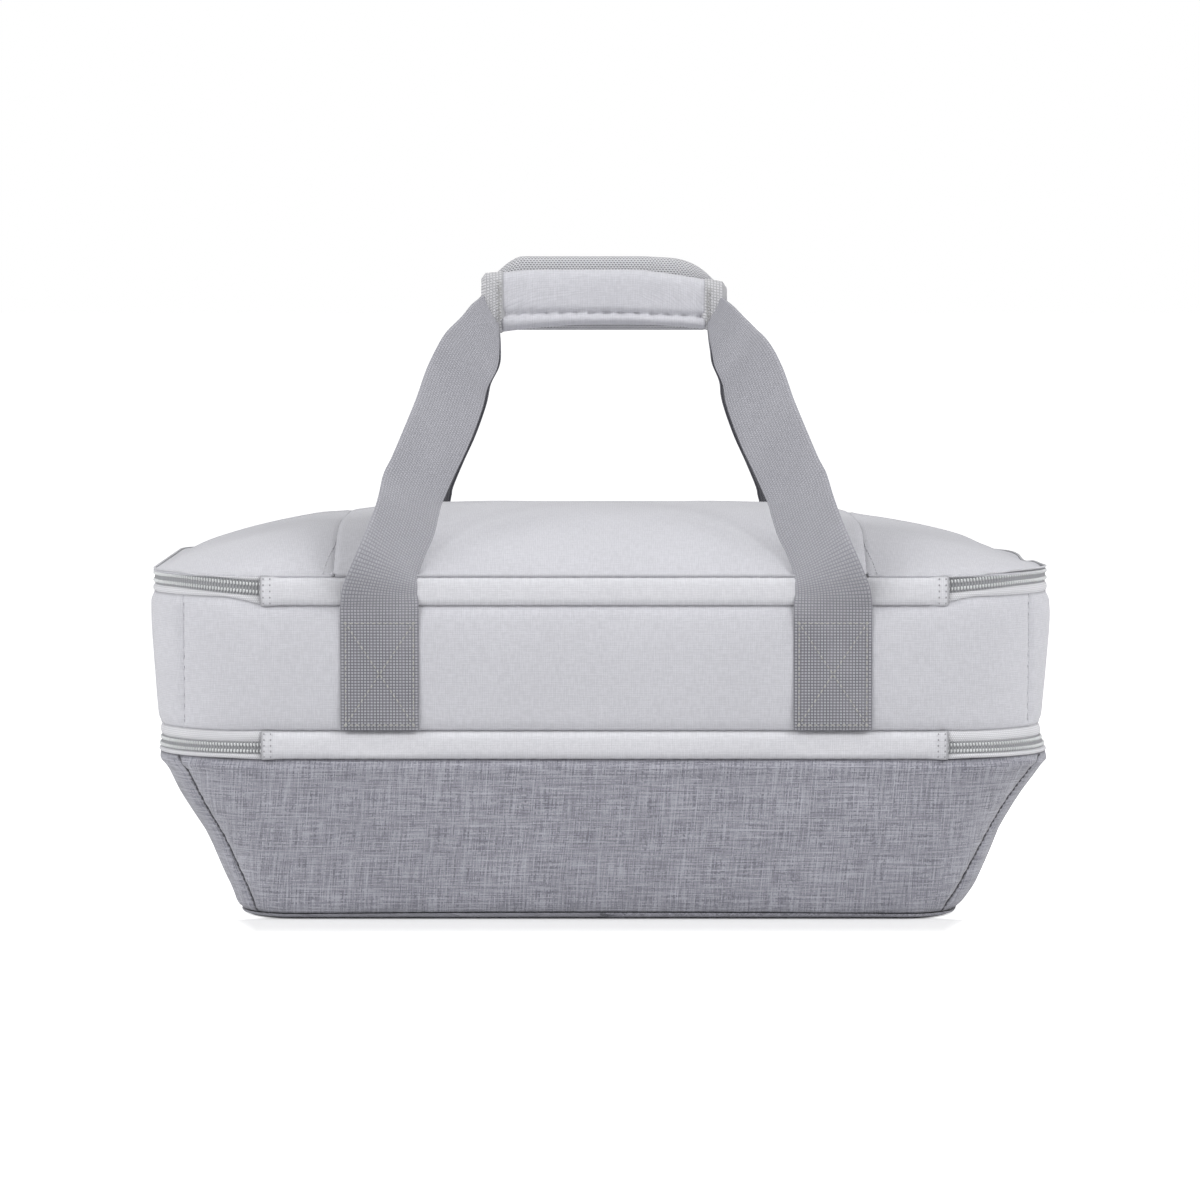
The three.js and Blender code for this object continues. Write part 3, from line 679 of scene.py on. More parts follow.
def wall_panel(name, ends, heights, lift, fullness, material, seed, strap, hem, dark):
    """A panel that lies round the carrier between two ends and two heights."""
    step = 0.0026
    middle_low, middle_high = ends(np.array(heights(np.array(0.0))).mean())
    length = float(middle_high - middle_low)
    shares = spread(length, step)
    low, high = heights(middle_low + shares * length)
    tall = (high - low)[:, None]
    s, t = np.meshgrid(shares, spread(float(np.mean(high - low)), step), indexing="ij")
    z = low[:, None] * (1 - t) + high[:, None] * t
    first, last = ends(z)
    along = first * (1 - s) + last * s
    side_edge = np.minimum(s, 1 - s) * length
    end_edge = np.minimum(t, 1 - t) * tall
    edge = np.minimum(side_edge, end_edge)
    crown = (1 - np.abs(2 * t - 1) ** 3.0) * (1 - np.abs(2 * s - 1) ** 12)
    base = on_wall(along, z, 0.0)
    soft = 0.0007 * lumps(base, 0.055, seed) + 0.0003 * lumps(base, 0.02, seed + 3)
    full = (fullness[0] + fullness[1] * t) * crown
    off = lift + full + soft * smooth(edge / 0.012) - seam_ditch(edge)
    off = off + pucker(side_edge, z, 0.0062, seed)
    off = off + pucker(end_edge, along, 0.0074, seed + 1, 0.005, 0.00018)
    off = off + hem * bump((1 - t) * tall - 0.0042, 0.0024)
    if strap:
        off = pressed(off, strap_press(base[..., 0]) * smooth((z - 0.02) / 0.01))
    points, hint = wall_path(along, z, off)
    threads = (s - 0.5) * (last - first) + 0.37 * seed
    return thick_sheet(name, points, stack(threads, z), hint, CLOTH, material, dark=dark)


def turned_in(along, low=0.156, high=0.184):
    """From 0 behind the hinge strip to 1 round the ends, where the zip is drawn up, and 0 at the
    front."""
    front, fade = 0.512, 0.08
    away = np.abs(along)
    return smooth((away - low) / (high - low)) * smooth((front - away) / fade)


def base_edge(along):
    """The bottom seam rises a little in the middle of each side."""
    px, py, nx, ny = outline(along, 0.004)
    long_side = np.abs(ny) * np.clip(1 - (px / 0.15) ** 2, 0, 1) * 0.0007
    short_side = np.abs(nx) * np.clip(1 - (py / 0.11) ** 2, 0, 1) * 0.0007
    return 0.0026 + long_side + short_side


def four_panels(prefix, body, slot, seam, heights, lift, broad, narrow, material, strap, hem, dark):
    """The back, right, front and left panels. Fullness is given at their foot and as its rise."""
    def left(z):
        return seam(z, "left") + GAP / 2

    def right(z):
        return seam(z, "right") + GAP / 2

    spans = {
        "back": lambda z: (GAP - left(z), right(z) - GAP),
        "right": lambda z: (right(z), half_girth(z) - right(z)),
        "front": lambda z: (half_girth(z) - right(z) + GAP, half_girth(z) + left(z) - GAP),
        "left": lambda z: (half_girth(z) + left(z), 2 * half_girth(z) - left(z)),
    }
    for seed, (side, ends) in enumerate(spans.items()):
        wide = side in ("back", "front")
        full = broad if wide else narrow
        piece = wall_panel(f"{prefix}_{side}_cloth", ends, heights, lift, full, material, seed * 5 + 1,
                           strap and wide, hem, dark)
        dress(piece, body, slot, f"{prefix}_{side}_panel")


def make_base_cloth():
    def heights(along):
        return base_edge(along) + 0.0002, BASE_TOP + 0.0008 * turned_in(around(along, BASE_TOP))

    four_panels("base", "base", "heather_cloth", base_seam, heights, lift=0.0009, broad=(0.0032, -0.0022),
                narrow=(0.0022, 0.0), material=HEATHER, strap=False, hem=0.0011, dark=(0.9, 0.9))


def make_wall_cloth():
    def heights(along):
        corner = turned_in(around(along, WALL_TOP))
        return WALL_BOTTOM + 0.0003 - 0.0004 * corner, WALL_TOP + 0.0044 * corner

    four_panels("wall", "deck", "pale_cloth", wall_seam, heights, lift=0.0010, broad=(0.0010, 0.0026),
                narrow=(0.0004, 0.0016), material=PALE, strap=True, hem=0.0, dark=(0.12, 0.6))


def make_base_bottom():
    """The bottom panel, whose edge turns up to the seam all round."""
    count, turn = 300, 0.0006
    along = np.arange(count + 1) / count * 2 * half_girth(0.004)
    rise = base_edge(along) - 0.0002 - turn
    rings = []
    for part, inset in ((0.2, 0.008), (0.45, 0.008), (0.7, 0.008), (0.9, 0.008), (1, 0.008), (1, 0.0015)):
        flat = ring_points(0.0, inset, 0.0, count)[0] * [part, part, 1]
        flat[:, 2] = 0.0004 * (1 + lumps(flat, 0.05, 2)) * min(inset / 0.01, 1)
        rings.append(flat)
    rings.append(ring_points(0.0, 0.0, turn, count)[0])
    for part, off in ((0.35, 0.0009), (0.7, 0.0009), (1.0, 0.0009), (1.0, -0.0005), (0.5, -0.0005)):
        rings.append(on_wall(along, turn + rise * part, off))
    for part in (1, 0.9, 0.7, 0.45, 0.2):
        rings.append(ring_points(0.0, 0.002, 0.0015, count)[0] * [part, part, 1])
    rings = np.array(rings)
    spots = rings[:, :, :2].copy()
    upturned = range(7, 12)
    slant = 0.707
    for level in upturned:
        z = rings[level, :, 2]
        spots[level] = stack(along * slant + z * slant, z * slant - along * slant)
    piece = closed_loft("base_bottom_cloth", rings, spots, HEATHER)
    dress(piece, "base", "heather_cloth", "base_bottom_panel")


def strip_crown(share):
    return 0.0009 * (1 - np.abs(2 * share - 1) ** 2.5)


def make_strip(name, low, high, node):
    """A sewn hinge strip with folded ends."""
    length = STRIP_END + RIGHT_END
    s, t = np.meshgrid(spread(length, 0.003), spread(high - low, 0.0012), indexing="ij")
    x, z = length * s - STRIP_END, low + (high - low) * t
    end = np.minimum(s, 1 - s) * length
    fold = smooth((0.0078 - end) / 0.0006) * 0.0006
    edge = np.minimum(t, 1 - t) * (high - low)
    off = 0.0009 + fold + strip_crown(t)
    off = off - seam_ditch(edge, 0.0016, 0.0015) * (1 - 0.75 * smooth((0.006 - end) / 0.003))
    off = off + 0.00035 * lumps(on_wall(x, z, 0.0), 0.03, 4) * smooth(edge / 0.003)
    off = pressed(off - seam_ditch(end, 0.0003, 0.001) + pucker(edge, x, 0.0068, 2, 0.004, 0.00014),
                  strap_press(x))
    points, hint = wall_path(x, z, off)
    piece = thick_sheet(name, points, stack(x, z), hint, 0.0012, STRIP)
    dress(piece, None, "pale_cloth", node)
    bend_with_hinge(piece)


# ---- Lid


def dome_share(x, y):
    """How far out a point is on the lid: 0 in the middle, 1 at the rim."""
    half_x, half_y, r = plan(RIM)
    ax, ay = np.abs(x), np.abs(y)
    bx, by = half_x - r, half_y - r
    a = bx * bx + by * by - r * r
    b = -2 * (ax * bx + ay * by)
    c = ax * ax + ay * ay
    corner = (-b - np.sqrt(np.maximum(b * b - 4 * a * c, 0))) / (2 * a)
    corner = np.where(corner > 0, corner, 2.0)
    flat_x, flat_y = ax / half_x, ay / half_y
    share = np.where(ay <= flat_x * by, flat_x, np.where(ax <= flat_y * bx, flat_y, corner))
    return np.clip(share, 0, 1)


def dome_height(x, y, inset=0.0, pinch=1.0):
    half_x, half_y, _ = plan(RIM)
    share = dome_share(x * half_x / (half_x - inset), y * half_y / (half_y - inset))
    crown = 1 - share ** DOME_ROUNDNESS
    return RIM + DOME_RISE * crown - inset * (pinch + (1 - pinch) * crown)


def cloth_height(x, y):
    """The lid cloth before its fullness: a little under the dome on its shoulders."""
    full = dome_height(x, y) - RIM
    shoulder = 0.0017 * smooth(full / 0.012) + 0.0024 * smooth(full / 0.0025) * bump(full, 0.0075)
    sunk = 0.0022 * smooth((x - 0.115) / 0.03) * smooth(full / 0.009) + drooped(x, y, RIM)
    return RIM + full - shoulder - sunk


def lid_points(x, y, edge, seam_edge, seed):
    z = cloth_height(x, y)
    step = 0.0005
    slope = stack(-(cloth_height(x + step, y) - cloth_height(x - step, y)) / (2 * step),
                  -(cloth_height(x, y + step) - cloth_height(x, y - step)) / (2 * step), 1.0)
    outward = stack(x / 0.22, y / 0.142, 0.0)
    outward /= np.maximum(np.linalg.norm(outward, axis=-1, keepdims=True), 1e-9)
    normal = slope + outward * smooth((dome_share(x, y) - 0.93) / 0.07)[..., None] * 1.2
    normal /= np.linalg.norm(normal, axis=-1, keepdims=True)
    base = stack(x, y, z)
    soft = 0.0005 * lumps(base, 0.085, seed) + 0.0002 * lumps(base, 0.025, seed + 2)
    dent = 0.0016 * np.exp(-(((x - 0.066) / 0.02) ** 2 + ((y + 0.1) / 0.03) ** 2))
    off = 0.0011 + 0.0008 * smooth(edge / 0.02) + soft * smooth(edge / 0.02)
    ditch = np.where(edge < seam_edge, seam_ditch(edge, 0.0012), seam_ditch(edge, 0.0005, 0.0014))
    off = off - dent - ditch + pucker(seam_edge, y, 0.0066, seed, 0.008, 0.00018)
    points = base + normal * off[..., None]
    points[..., 2] = np.maximum(points[..., 2], RIM + 0.0004 - drooped(x, y, RIM))
    return points, normal


def lid_panel(side, x, y, edge, seam_edge, seed, dark):
    points, normal = lid_points(x, y, edge, seam_edge, seed)
    piece = thick_sheet(f"lid_{side}_cloth", points, stack(x, y), normal, CLOTH, PALE, dark=dark)
    dress(piece, "lid", "pale_cloth", f"lid_{side}_panel")


def make_lid_cloth():
    half_x, half_y, _ = plan(RIM)
    half = LID_SEAM - GAP / 2
    s, t = np.meshgrid(spread(2 * half, 0.0028), spread(2 * half_y, 0.0028), indexing="ij")
    seam_edge = np.minimum(s, 1 - s) * 2 * half
    edge = np.minimum(seam_edge, np.minimum(t, 1 - t) * 2 * half_y)
    lid_panel("middle", -half + 2 * half * s, -half_y + 2 * half_y * t, edge, seam_edge, 11, (0.12, 0.6))
    start = LID_SEAM + GAP / 2
    length = half_girth(RIM) - 2 * start
    s, t = np.meshgrid(spread(length, 0.0034), spread(half_x - start, 0.0028), indexing="ij")
    rim_x, rim_y, _, _ = outline(start + length * s, RIM + 0 * s)
    seam_y = -half_y + 2 * half_y * np.clip(s + 0.09 * np.sin(2 * math.pi * s), 0, 1)
    x, y = start * (1 - t) + rim_x * t, seam_y * (1 - t) + rim_y * t
    room = np.hypot(rim_x - start, rim_y - seam_y)
    edge = np.minimum(t * room, (1 - t) * room)
    for side, sign in SIDES:
        lid_panel(side, sign * x, y, edge, t * room, 14 + sign, (0.2, 0.2))


# ---- Padding and linings


def make_tray(name, outer, inner, low, floor, top, material, body, slot, node, roll=0.0008):
    """A soft tray: up its outside, over a rounded rim and down to its floor."""
    rings, spots = [], []

    def level(z, inset, part=1.0):
        ring, along = ring_points(min(max(z, 0.0), RIM), inset, z)
        rings.append(ring * [part, part, 1])
        spots.append(stack(along, z + inset + (1 - part) * 0.2))

    def upright(foot, inset, parts):
        for part in parts:
            level(foot + (top - roll - foot) * part, inset)

    for part in (0.3, 0.6, 0.85, 0.97):
        level(low, outer + 0.003, part)
    level(low + 0.0006, outer + 0.0002)
    upright(low, outer, np.linspace(0.08, 1, 9))
    for share, drop in ((0.12, 0.3), (0.35, 0.0), (0.65, 0.0), (0.88, 0.3)):
        level(top - roll * drop, outer + (inner - outer) * share)
    upright(floor, inner, np.linspace(1, 0.08, 14))
    level(floor + 0.0015, inner + 0.0006)
    for part in (1.0, 0.97, 0.85, 0.6, 0.3):
        level(floor, inner + 0.003, part)
    return dress(closed_loft(name, rings, spots, material), body, slot, node)


def make_linings_and_foam():
    for body, foot, top, over in (("base", BEHIND_SKIN, BASE_TOP, 0.004),
                                  ("deck", WALL_BOTTOM, WALL_TOP, 0.0041)):
        low = foot + BOARD_THICKNESS + GAP
        make_tray(f"{body}_foam_tray", BEHIND_SKIN, BEHIND_SKIN + FOAM, low, low + 0.005, top, OPEN_FOAM,
                  body, "foam", f"{body}_foam", roll=0.0015)
        make_tray(f"{body}_lining_foil", LINING_IN, LINING_IN + LINER, low + 0.0053, low + 0.0061,
                  top + over, FOIL, body, "foil_lining", f"{body}_lining")
    low, high = WALL_BOTTOM - GAP - LINER, WALL_BOTTOM - GAP
    parts = (0.3, 0.6, 0.85, 0.97, 0.996)
    rings = [ring_points(low, BEHIND_SKIN, low)[0] * [part, part, 1] for part in parts]
    rings.append(ring_points(low, BEHIND_SKIN, (low + high) / 2)[0])
    rings += [ring_points(high, BEHIND_SKIN, high)[0] * [part, part, 1] for part in parts[::-1]]
    piece = closed_loft("deck_underside_foil", rings, [ring[:, :2] for ring in rings], FOIL)
    dress(piece, "deck", "foil_lining", "deck_underside")


def make_lid_layer(name, outer, inner, low, material, slot, node):
    """A domed layer under the lid, thinner where it is sewn in at the rim."""
    shares = [0.12, 0.36, 0.55, 0.68, 0.78, 0.84, 0.89, 0.93, 0.965, 0.985, 1.0]
    rings, spots = [], []
    for inset, order in ((outer, shares), (inner, shares[::-1])):
        for part in order:
            ring = ring_points(RIM, inset, RIM)[0] * [part, part, 1]
            x, y = ring[:, 0] * 0.9999, ring[:, 1] * 0.9999
            under = dome_height(x, y) - cloth_height(x, y) + 0.0007 * smooth((1 - part) / 0.06)
            ring[:, 2] = dome_height(x, y, inset, RIM_PINCH) - under
            rings.append(ring)
            spots.append(ring[:, :2])
        if inset == outer:
            for edge_inset in (outer, inner):
                ring = ring_points(RIM, edge_inset, low)[0]
                ring[:, 2] -= drooped(ring[:, 0], ring[:, 1], RIM)
                rings.append(ring)
                spots.append(ring[:, :2] * 1.01)
    dress(closed_loft(name, rings, spots, material), "lid", slot, node)


# ---- Repeats along a path: coil elements and stitches


def repeat_tree():
    """Sets one rounded element at every pitch along a path, turned to the path and its outward side."""
    tree = bpy.data.node_groups.new("Elements along a path", "GeometryNodeTree")
    kinds = {"Path": "Geometry", "Seed": "Int", "Finish": "Material"}
    for label in ("Path", "Pitch", "Length", "Width", "Height", "Slant", "Unevenness", "Seed", "Finish"):
        kind = "NodeSocket" + kinds.get(label, "Float")
        tree.interface.new_socket(label, in_out="INPUT", socket_type=kind)
    tree.interface.new_socket("Elements", in_out="OUTPUT", socket_type="NodeSocketGeometry")

    def make(kind, inputs=(), **settings):
        return add_node(tree, kind, inputs, **settings).outputs[0]

    given = add_node(tree, "NodeGroupInput").outputs
    curve = make("GeometryNodeMeshToCurve", {0: given["Path"]})
    sampled = make("GeometryNodeResampleCurve", {"Curve": curve, "Length": given["Pitch"]},
                   mode="LENGTH")
    outward = make("GeometryNodeInputNamedAttribute", {"Name": "outward"}, data_type="FLOAT_VECTOR")
    turn = "FunctionNodeAlignRotationToVector"
    along = make(turn, {"Vector": make("GeometryNodeInputTangent")}, axis="X")
    facing = make(turn, {"Rotation": along, "Vector": outward}, axis="Z", pivot_axis="X")
    lean = make("FunctionNodeAxisAngleToRotation", {"Axis": (0, 0, 1), "Angle": given["Slant"]})
    leaning = make("FunctionNodeRotateRotation", {"Rotation": facing, "Rotate By": lean},
                   rotation_space="LOCAL")
    bead = make("GeometryNodeMeshUVSphere", {"Segments": 6, "Rings": 5, "Radius": 0.5})
    size = make("ShaderNodeCombineXYZ",
                {"X": given["Length"], "Y": given["Width"], "Z": given["Height"]})
    least = make("ShaderNodeMath", {0: 1.0, 1: given["Unevenness"]}, operation="SUBTRACT")
    chance = add_node(tree, "FunctionNodeRandomValue", {2: least, 3: 1.0, "Seed": given["Seed"]})
    scaled = make("ShaderNodeVectorMath", {0: size, "Scale": chance.outputs[1]}, operation="SCALE")
    placed = make("GeometryNodeInstanceOnPoints",
                  {"Points": sampled, "Instance": bead, "Rotation": leaning, "Scale": scaled})
    real = make("GeometryNodeRealizeInstances", {0: placed})
    painted = make("GeometryNodeSetMaterial", {"Geometry": real, "Material": given["Finish"]})
    add_node(tree, "NodeGroupOutput", {0: painted})
    return tree


REPEAT = repeat_tree()


def elements(name, paths, finish, pitch, size, uneven, seed, slant=0.0):
    """One mesh of small elements along paths. A path is its points and their outward directions. The
    size is the length along the path, the width across it and the height."""
    points = np.concatenate([p for p, _ in paths])
    outward = np.concatenate([np.broadcast_to(o, p.shape) for p, o in paths])
    edges, start = [], 0
    for p, _ in paths:
        edges += [(start + i, start + i + 1) for i in range(len(p) - 1)]
        start += len(p)
    line = bpy.data.meshes.new(name + "_path")
    line.from_pydata(points.tolist(), edges, [])
    directions = line.attributes.new("outward", "FLOAT_VECTOR", "POINT")
    directions.data.foreach_set("vector", np.asarray(outward, np.float32).ravel())
    guide = add_object(name + "_path", line)
    repeat = guide.modifiers.new("Elements", "NODES")
    repeat.node_group = REPEAT
    values = {"Pitch": pitch, "Length": size[0], "Width": size[1], "Height": size[2], "Slant": slant,
              "Unevenness": uneven, "Seed": seed, "Finish": finish}
    for item in REPEAT.interface.items_tree:
        if item.in_out == "INPUT" and item.name in values:
            repeat[item.identifier] = values[item.name]
    made = as_made(guide)
    bpy.data.objects.remove(guide)
    round_shading(made)
    made.name = name
    return add_object(name, made)


# ---- Zips


def tape(name, along, near, far, off_at, material, body, *nodes):
    """A strip of tape round the ends and the slider side, between two heights."""
    t = np.array([0, 0.08, 0.22, 0.38, 0.54, 0.7, 0.84, 0.94, 1.0])
    z = near[:, None] + (far - near)[:, None] * t[None, :]
    run = np.broadcast_to(along[:, None], z.shape)
    off = off_at(t)[None, :] + 0.0001 * lumps(on_wall(run, z, 0.0), 0.02, 6)
    points, hint = wall_path(run, z, off)
    piece = thick_sheet(name, points, stack(run, z), hint, 0.0006, material, dark=(0.25, 0.5))
    dress(piece, body, "zip_tape", *nodes)


def make_zip(name, centre, low, high, low_body, high_body):
    """Two rows of coil on two tapes, round the ends and the slider side."""
    steps, clear = 560, 0.4 * MM
    along = np.linspace(RIGHT_END + clear, 2 * half_girth(centre) - STRIP_END - clear, steps)
    away = around(along, centre)
    corner = turned_in(away)
    if name == "upper":
        row, tall, groove = 0.0018, 0.0022, 0.0036
        lifted = 0.0008 + 0.0035 * turned_in(away, 0.145, 0.22) + 0.0011 * smooth((0.3 - along) / 0.06)
        edges = (low + 0.0044 * corner, high + 0 * corner)
    else:
        row, tall, groove = 0.0015, 0.0021, 0.0028
        lifted = -0.0013 * turned_in(away, 0.15, 0.165)
        edges = (low + 0.0008 * corner, high - 0.0004 * corner)
    middle = centre + lifted
    for body, sign, edge in ((low_body, -1, edges[0]), (high_body, 1, edges[1])):
        path = wall_path(along, middle + sign * row, -0.0001)
        teeth = elements(f"{name}_coil_{body}", [path], COIL, 0.00162, (0.0013, tall, 0.0014), 0.06, 1,
                         sign * 0.15)
        dress(teeth, body, "zip_coil", f"{name}_zip_coil_{body}")
        near = middle + sign * groove
        edge = sign * np.maximum(sign * edge, sign * near + 0.0006)
        # The seat under each row of coil is a sheet of painted shade.
        tape(f"{name}_painted_coil_shade_{body}", along, middle + sign * 0.00015, near + sign * 0.0002,
             lambda t: -0.0003 - 0.0002 * t, PAINTED_COIL_SHADE, body)
        tape(f"{name}_facing_{body}", along, near, edge,
             lambda t: -0.0006 + 0.0012 * np.abs(np.sin(math.pi * t)) ** 0.7, FACING, body,
             f"{name}_zip_tape_{body}")


def softened(node, width, material, slot):
    """A rounded copy of a small moulded or cast solid."""
    source = bpy.data.objects[node] if node in bpy.data.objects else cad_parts[node]
    mesh = source.data.copy()
    mesh.name = node + "_body"
    shape = bmesh.new()
    shape.from_mesh(mesh)
    bmesh.ops.remove_doubles(shape, verts=shape.verts, dist=1e-6)
    bmesh.ops.dissolve_limit(shape, angle_limit=0.02, verts=shape.verts, edges=shape.edges)
    shape.to_mesh(mesh)
    shape.free()
    mesh.materials.clear()
    mesh.materials.append(material)
    piece = add_object(node + "_body", mesh)
    rounding = piece.modifiers.new("Rounding", "BEVEL")
    rounding.width, rounding.segments, rounding.limit_method = width, 2, "ANGLE"
    rounding.angle_limit = math.radians(35)
    rounding.use_clamp_overlap = True
    rounded = as_made(piece)
    piece.modifiers.clear()
    piece.data = rounded
    round_shading(rounded, 50)
    return dress(piece, node, slot, node)


# ---- Straps


def along_curve(stations, per_span):
    """Even steps on a smooth curve through rows of numbers."""
    rows = np.asarray(stations, float)
    padded = np.concatenate([[2 * rows[0] - rows[1]], rows, [2 * rows[-1] - rows[-2]]])
    out = []
    for i in range(1, len(padded) - 2):
        a, b, c, d = padded[i - 1:i + 3]
        for t in np.arange(per_span) / per_span:
            out.append(0.5 * (2 * b + (c - a) * t + (2 * a - 5 * b + 4 * c - d) * t ** 2
                              + (3 * b - a - 3 * c + d) * t ** 3))
    return np.array(out + [rows[-1]])


def strap(name, centres, acrosses, thickness, start_length, outer_hint):
    """A flat strap along centres. acrosses point from its middle to one edge."""
    tangent = np.gradient(centres, axis=0)
    tangent /= np.linalg.norm(tangent, axis=1, keepdims=True)
    half = np.linalg.norm(acrosses, axis=1, keepdims=True)
    side = acrosses - tangent * (acrosses * tangent).sum(axis=1, keepdims=True)
    side /= np.linalg.norm(side, axis=1, keepdims=True)
    face = np.cross(tangent, side)
    if (face[0] * outer_hint).sum() < 0:
        face = -face
    across = np.array([-1, -0.985, -0.94, -0.8, -0.5, -0.2, 0.2, 0.5, 0.8, 0.94, 0.985, 1])
    lift = np.array([0, 0.62, 0.96, 1, 1, 1, 1, 1, 1, 0.96, 0.62, 0]) * 0.5
    ring_across = np.concatenate([across, across[-2::-1]])
    ring_lift = np.concatenate([lift, -lift[-2::-1]])
    steps = np.linalg.norm(np.diff(centres, axis=0), axis=1)
    run = start_length + np.concatenate([[0], np.cumsum(steps)])
    rings = (centres[:, None] + side[:, None] * (half * ring_across[None])[..., None]
             + face[:, None] * (np.reshape(thickness, (-1, 1)) * ring_lift[None])[..., None])
    spots = stack(ring_across[None] * STRAP_WIDTH / 2, run[:, None])
    return closed_loft(name, rings, spots, WEBBING, 60), face


def mark_inner_face(piece, middle_points, face):
    """Paints the face that looks away from the given directions as the strap's other side."""
    mesh = piece.data
    points = coordinates(mesh)
    depths = []
    for part in np.array_split(points, len(points) // 4000 + 1):
        nearest = ((part[:, None] - middle_points[None]) ** 2).sum(axis=2).argmin(axis=1)
        depths.append(((part - middle_points[nearest]) * face[nearest]).sum(axis=1))
    values = (np.concatenate(depths) < -0.0002).astype(np.float32)
    mesh.attributes.new("inner_face", "FLOAT", "POINT").data.foreach_set("value", values)


# A handle's leg: sideways place, depth, height, half the width that shows from the hinge side, and
# half the width of the webbing
LEG_STATIONS = np.array([
    [109.5, 144.25, STRAP_SPLIT * 1000, 19.0, 19.0],
    [109.5, 144.4, 154.0, 19.0, 19.0],
    [109.2, 146.2, 161.0, 18.4, 18.5],
    [107.2, 148.4, 168.8, 17.4, 17.6],
    [104.2, 147.0, 177.6, 16.6, 17.4],
    [100.0, 139.5, 188.6, 16.4, 17.8],
    [96.6, 131.0, 197.6, 16.4, 18.4],
    [94.3, 121.5, 206.6, 16.5, 18.4],
    [91.6, 114.5, 213.6, 16.7, 18.4],
    [85.8, 99.0, 227.6, 17.1, 18.4],
    [79.9, 82.0, 241.6, 17.3, 18.4],
    [74.7, 65.0, 256.6, 17.3, 18.4],
    [70.2, 51.5, 268.6, 17.0, 18.2],
]) * MM
# Where the leg folds in half and turns into the grip: its place, then half its width as a vector
FOLD_STATIONS = np.array([
    [65.6, 39.0, 276.6, 12.2, 7.0, 7.6],
    [62.0, 28.0, 284.4, 9.0, 5.0, 8.4],
    [59.9, 18.0, 291.0, 6.4, 2.6, 7.6],
    [58.4, 11.0, 295.4, 4.2, 0.9, 6.4],
    [57.4, 7.0, 298.4, 1.8, 0.2, 5.8],
    [56.0, 5.6, 299.4, 0.5, 0.0, 5.6],
    [52.0, 5.4, 299.8, 0.2, 0.0, 5.6],
]) * MM


def handle_curve():
    """Places along a handle, and half its width there as a vector that lies across its run."""
    x, depth, z, shown, half = LEG_STATIONS.T
    along_z = np.gradient(np.append(z, FOLD_STATIONS[0, 2]))[:-1]
    p = np.gradient(np.append(x, FOLD_STATIONS[0, 0]))[:-1] / along_z
    q = np.gradient(np.append(depth, FOLD_STATIONS[0, 1]))[:-1] / along_z
    grown = 1 + p * p
    out = np.sqrt(np.maximum(half ** 2 - shown ** 2 / grown, 0) / (1 + q * q / grown))
    across = stack((shown - p * q * out) / grown, out, -(p * shown + q * out) / grown)
    rows = np.concatenate([np.concatenate([LEG_STATIONS[:, :3], across], axis=1), FOLD_STATIONS])
    return along_curve(rows, 7)


def strap_face_depth(z):
    """Distance of a strap's inner face from the middle plane where it lies on the wall."""
    return np.interp(z, [WALL_BOTTOM, WALL_TOP], [0.1424, 0.14335])


def make_anchor(name, face_sign, side, sign):
    """The flat end of a strap, sewn on the wall."""
    near = STRAP_LOW + np.array([0, 0.0008, 0.0026])
    z = np.concatenate([near, np.linspace(STRAP_LOW + 0.0056, STRAP_SPLIT, 22)])
    depth = strap_face_depth(z) + STRAP_THICKNESS / 2 - 0.0008 * bump(z - STRAP_LOW, 0.0016)
    centres = stack(sign * STRAP_CENTRE + STRAP_DRIFT, face_sign * depth, z)
    acrosses = stack(sign * STRAP_WIDTH / 2, 0 * z, 0.0)
    lower, _ = strap(f"{name}_anchor_strap_{side}", centres, acrosses, STRAP_THICKNESS + 0 * z, 0.0,
                     np.array([0, face_sign, 0]))
    dress(lower, None, "webbing", f"{name}_anchor_{side}")
    bend_with_root(lower, name)


def make_leg(name, face_sign, side, sign):
    """A strap from the wall's top over the lid and into the grip. The right one is narrower near the
    grip."""
    curve = handle_curve()
    z = curve[:, 2]
    share = smooth((z - 0.2784) / 0.018)
    drift = STRAP_DRIFT * (1 - 0.58 * share - 0.2 * smooth((z - 0.19) / 0.02) * (1 - share))
    narrowing = 0.1 if sign > 0 else 0.0
    centres = stack(sign * curve[:, 0] + drift, face_sign * curve[:, 1], z)
    acrosses = stack(sign * curve[:, 3], face_sign * curve[:, 4], curve[:, 5])
    acrosses = acrosses * (1 - narrowing * smooth((z - 0.262) / 0.015))[:, None]
    thickness = STRAP_THICKNESS + share * 0.0019
    upper, face = strap(f"{name}_handle_strap_{side}", centres, acrosses, thickness,
                        STRAP_SPLIT - STRAP_LOW, np.array([0, face_sign, 0]))
    mark_inner_face(upper, centres, face)
    dress(upper, None, "webbing", f"{name}_root_{side}", f"{name}_leg_{side}")
    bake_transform(upper)


def make_box_stitches(name, face_sign):
    paths = []
    half = STRAP_WIDTH / 2 - 0.0026
    low, high = STRAP_LOW + 0.0025, 0.1457
    corners = {"a": (-half, low), "b": (half, low), "c": (half, high), "d": (-half, high)}
    for sign in (-1, 1):
        for start, end in ("ab", "bc", "cd", "da", "ac", "bd"):
            x, z = np.linspace(corners[start], corners[end], 30).T
            y = face_sign * (strap_face_depth(z) + STRAP_THICKNESS + 0.0001)
            points = stack(sign * STRAP_CENTRE + STRAP_DRIFT + x, y, z)
            paths.append((points, np.array([0, face_sign, 0])))
    piece = elements(f"{name}_box_stitches", paths, STRAP_THREAD, 0.0027,
                     (0.0024, 0.0008, 0.0007), 0.15, 4)
    bend_with_root(piece, name)


# ---- Grips

GRIP_SHIFT = 0.002
GRIP_HALF = 0.060
GRIP_BOUND = 0.0087
SLOT_LOW = 0.2935
SLOT_HIGH = 0.3112
NEARER = np.array([0, -1, 0])


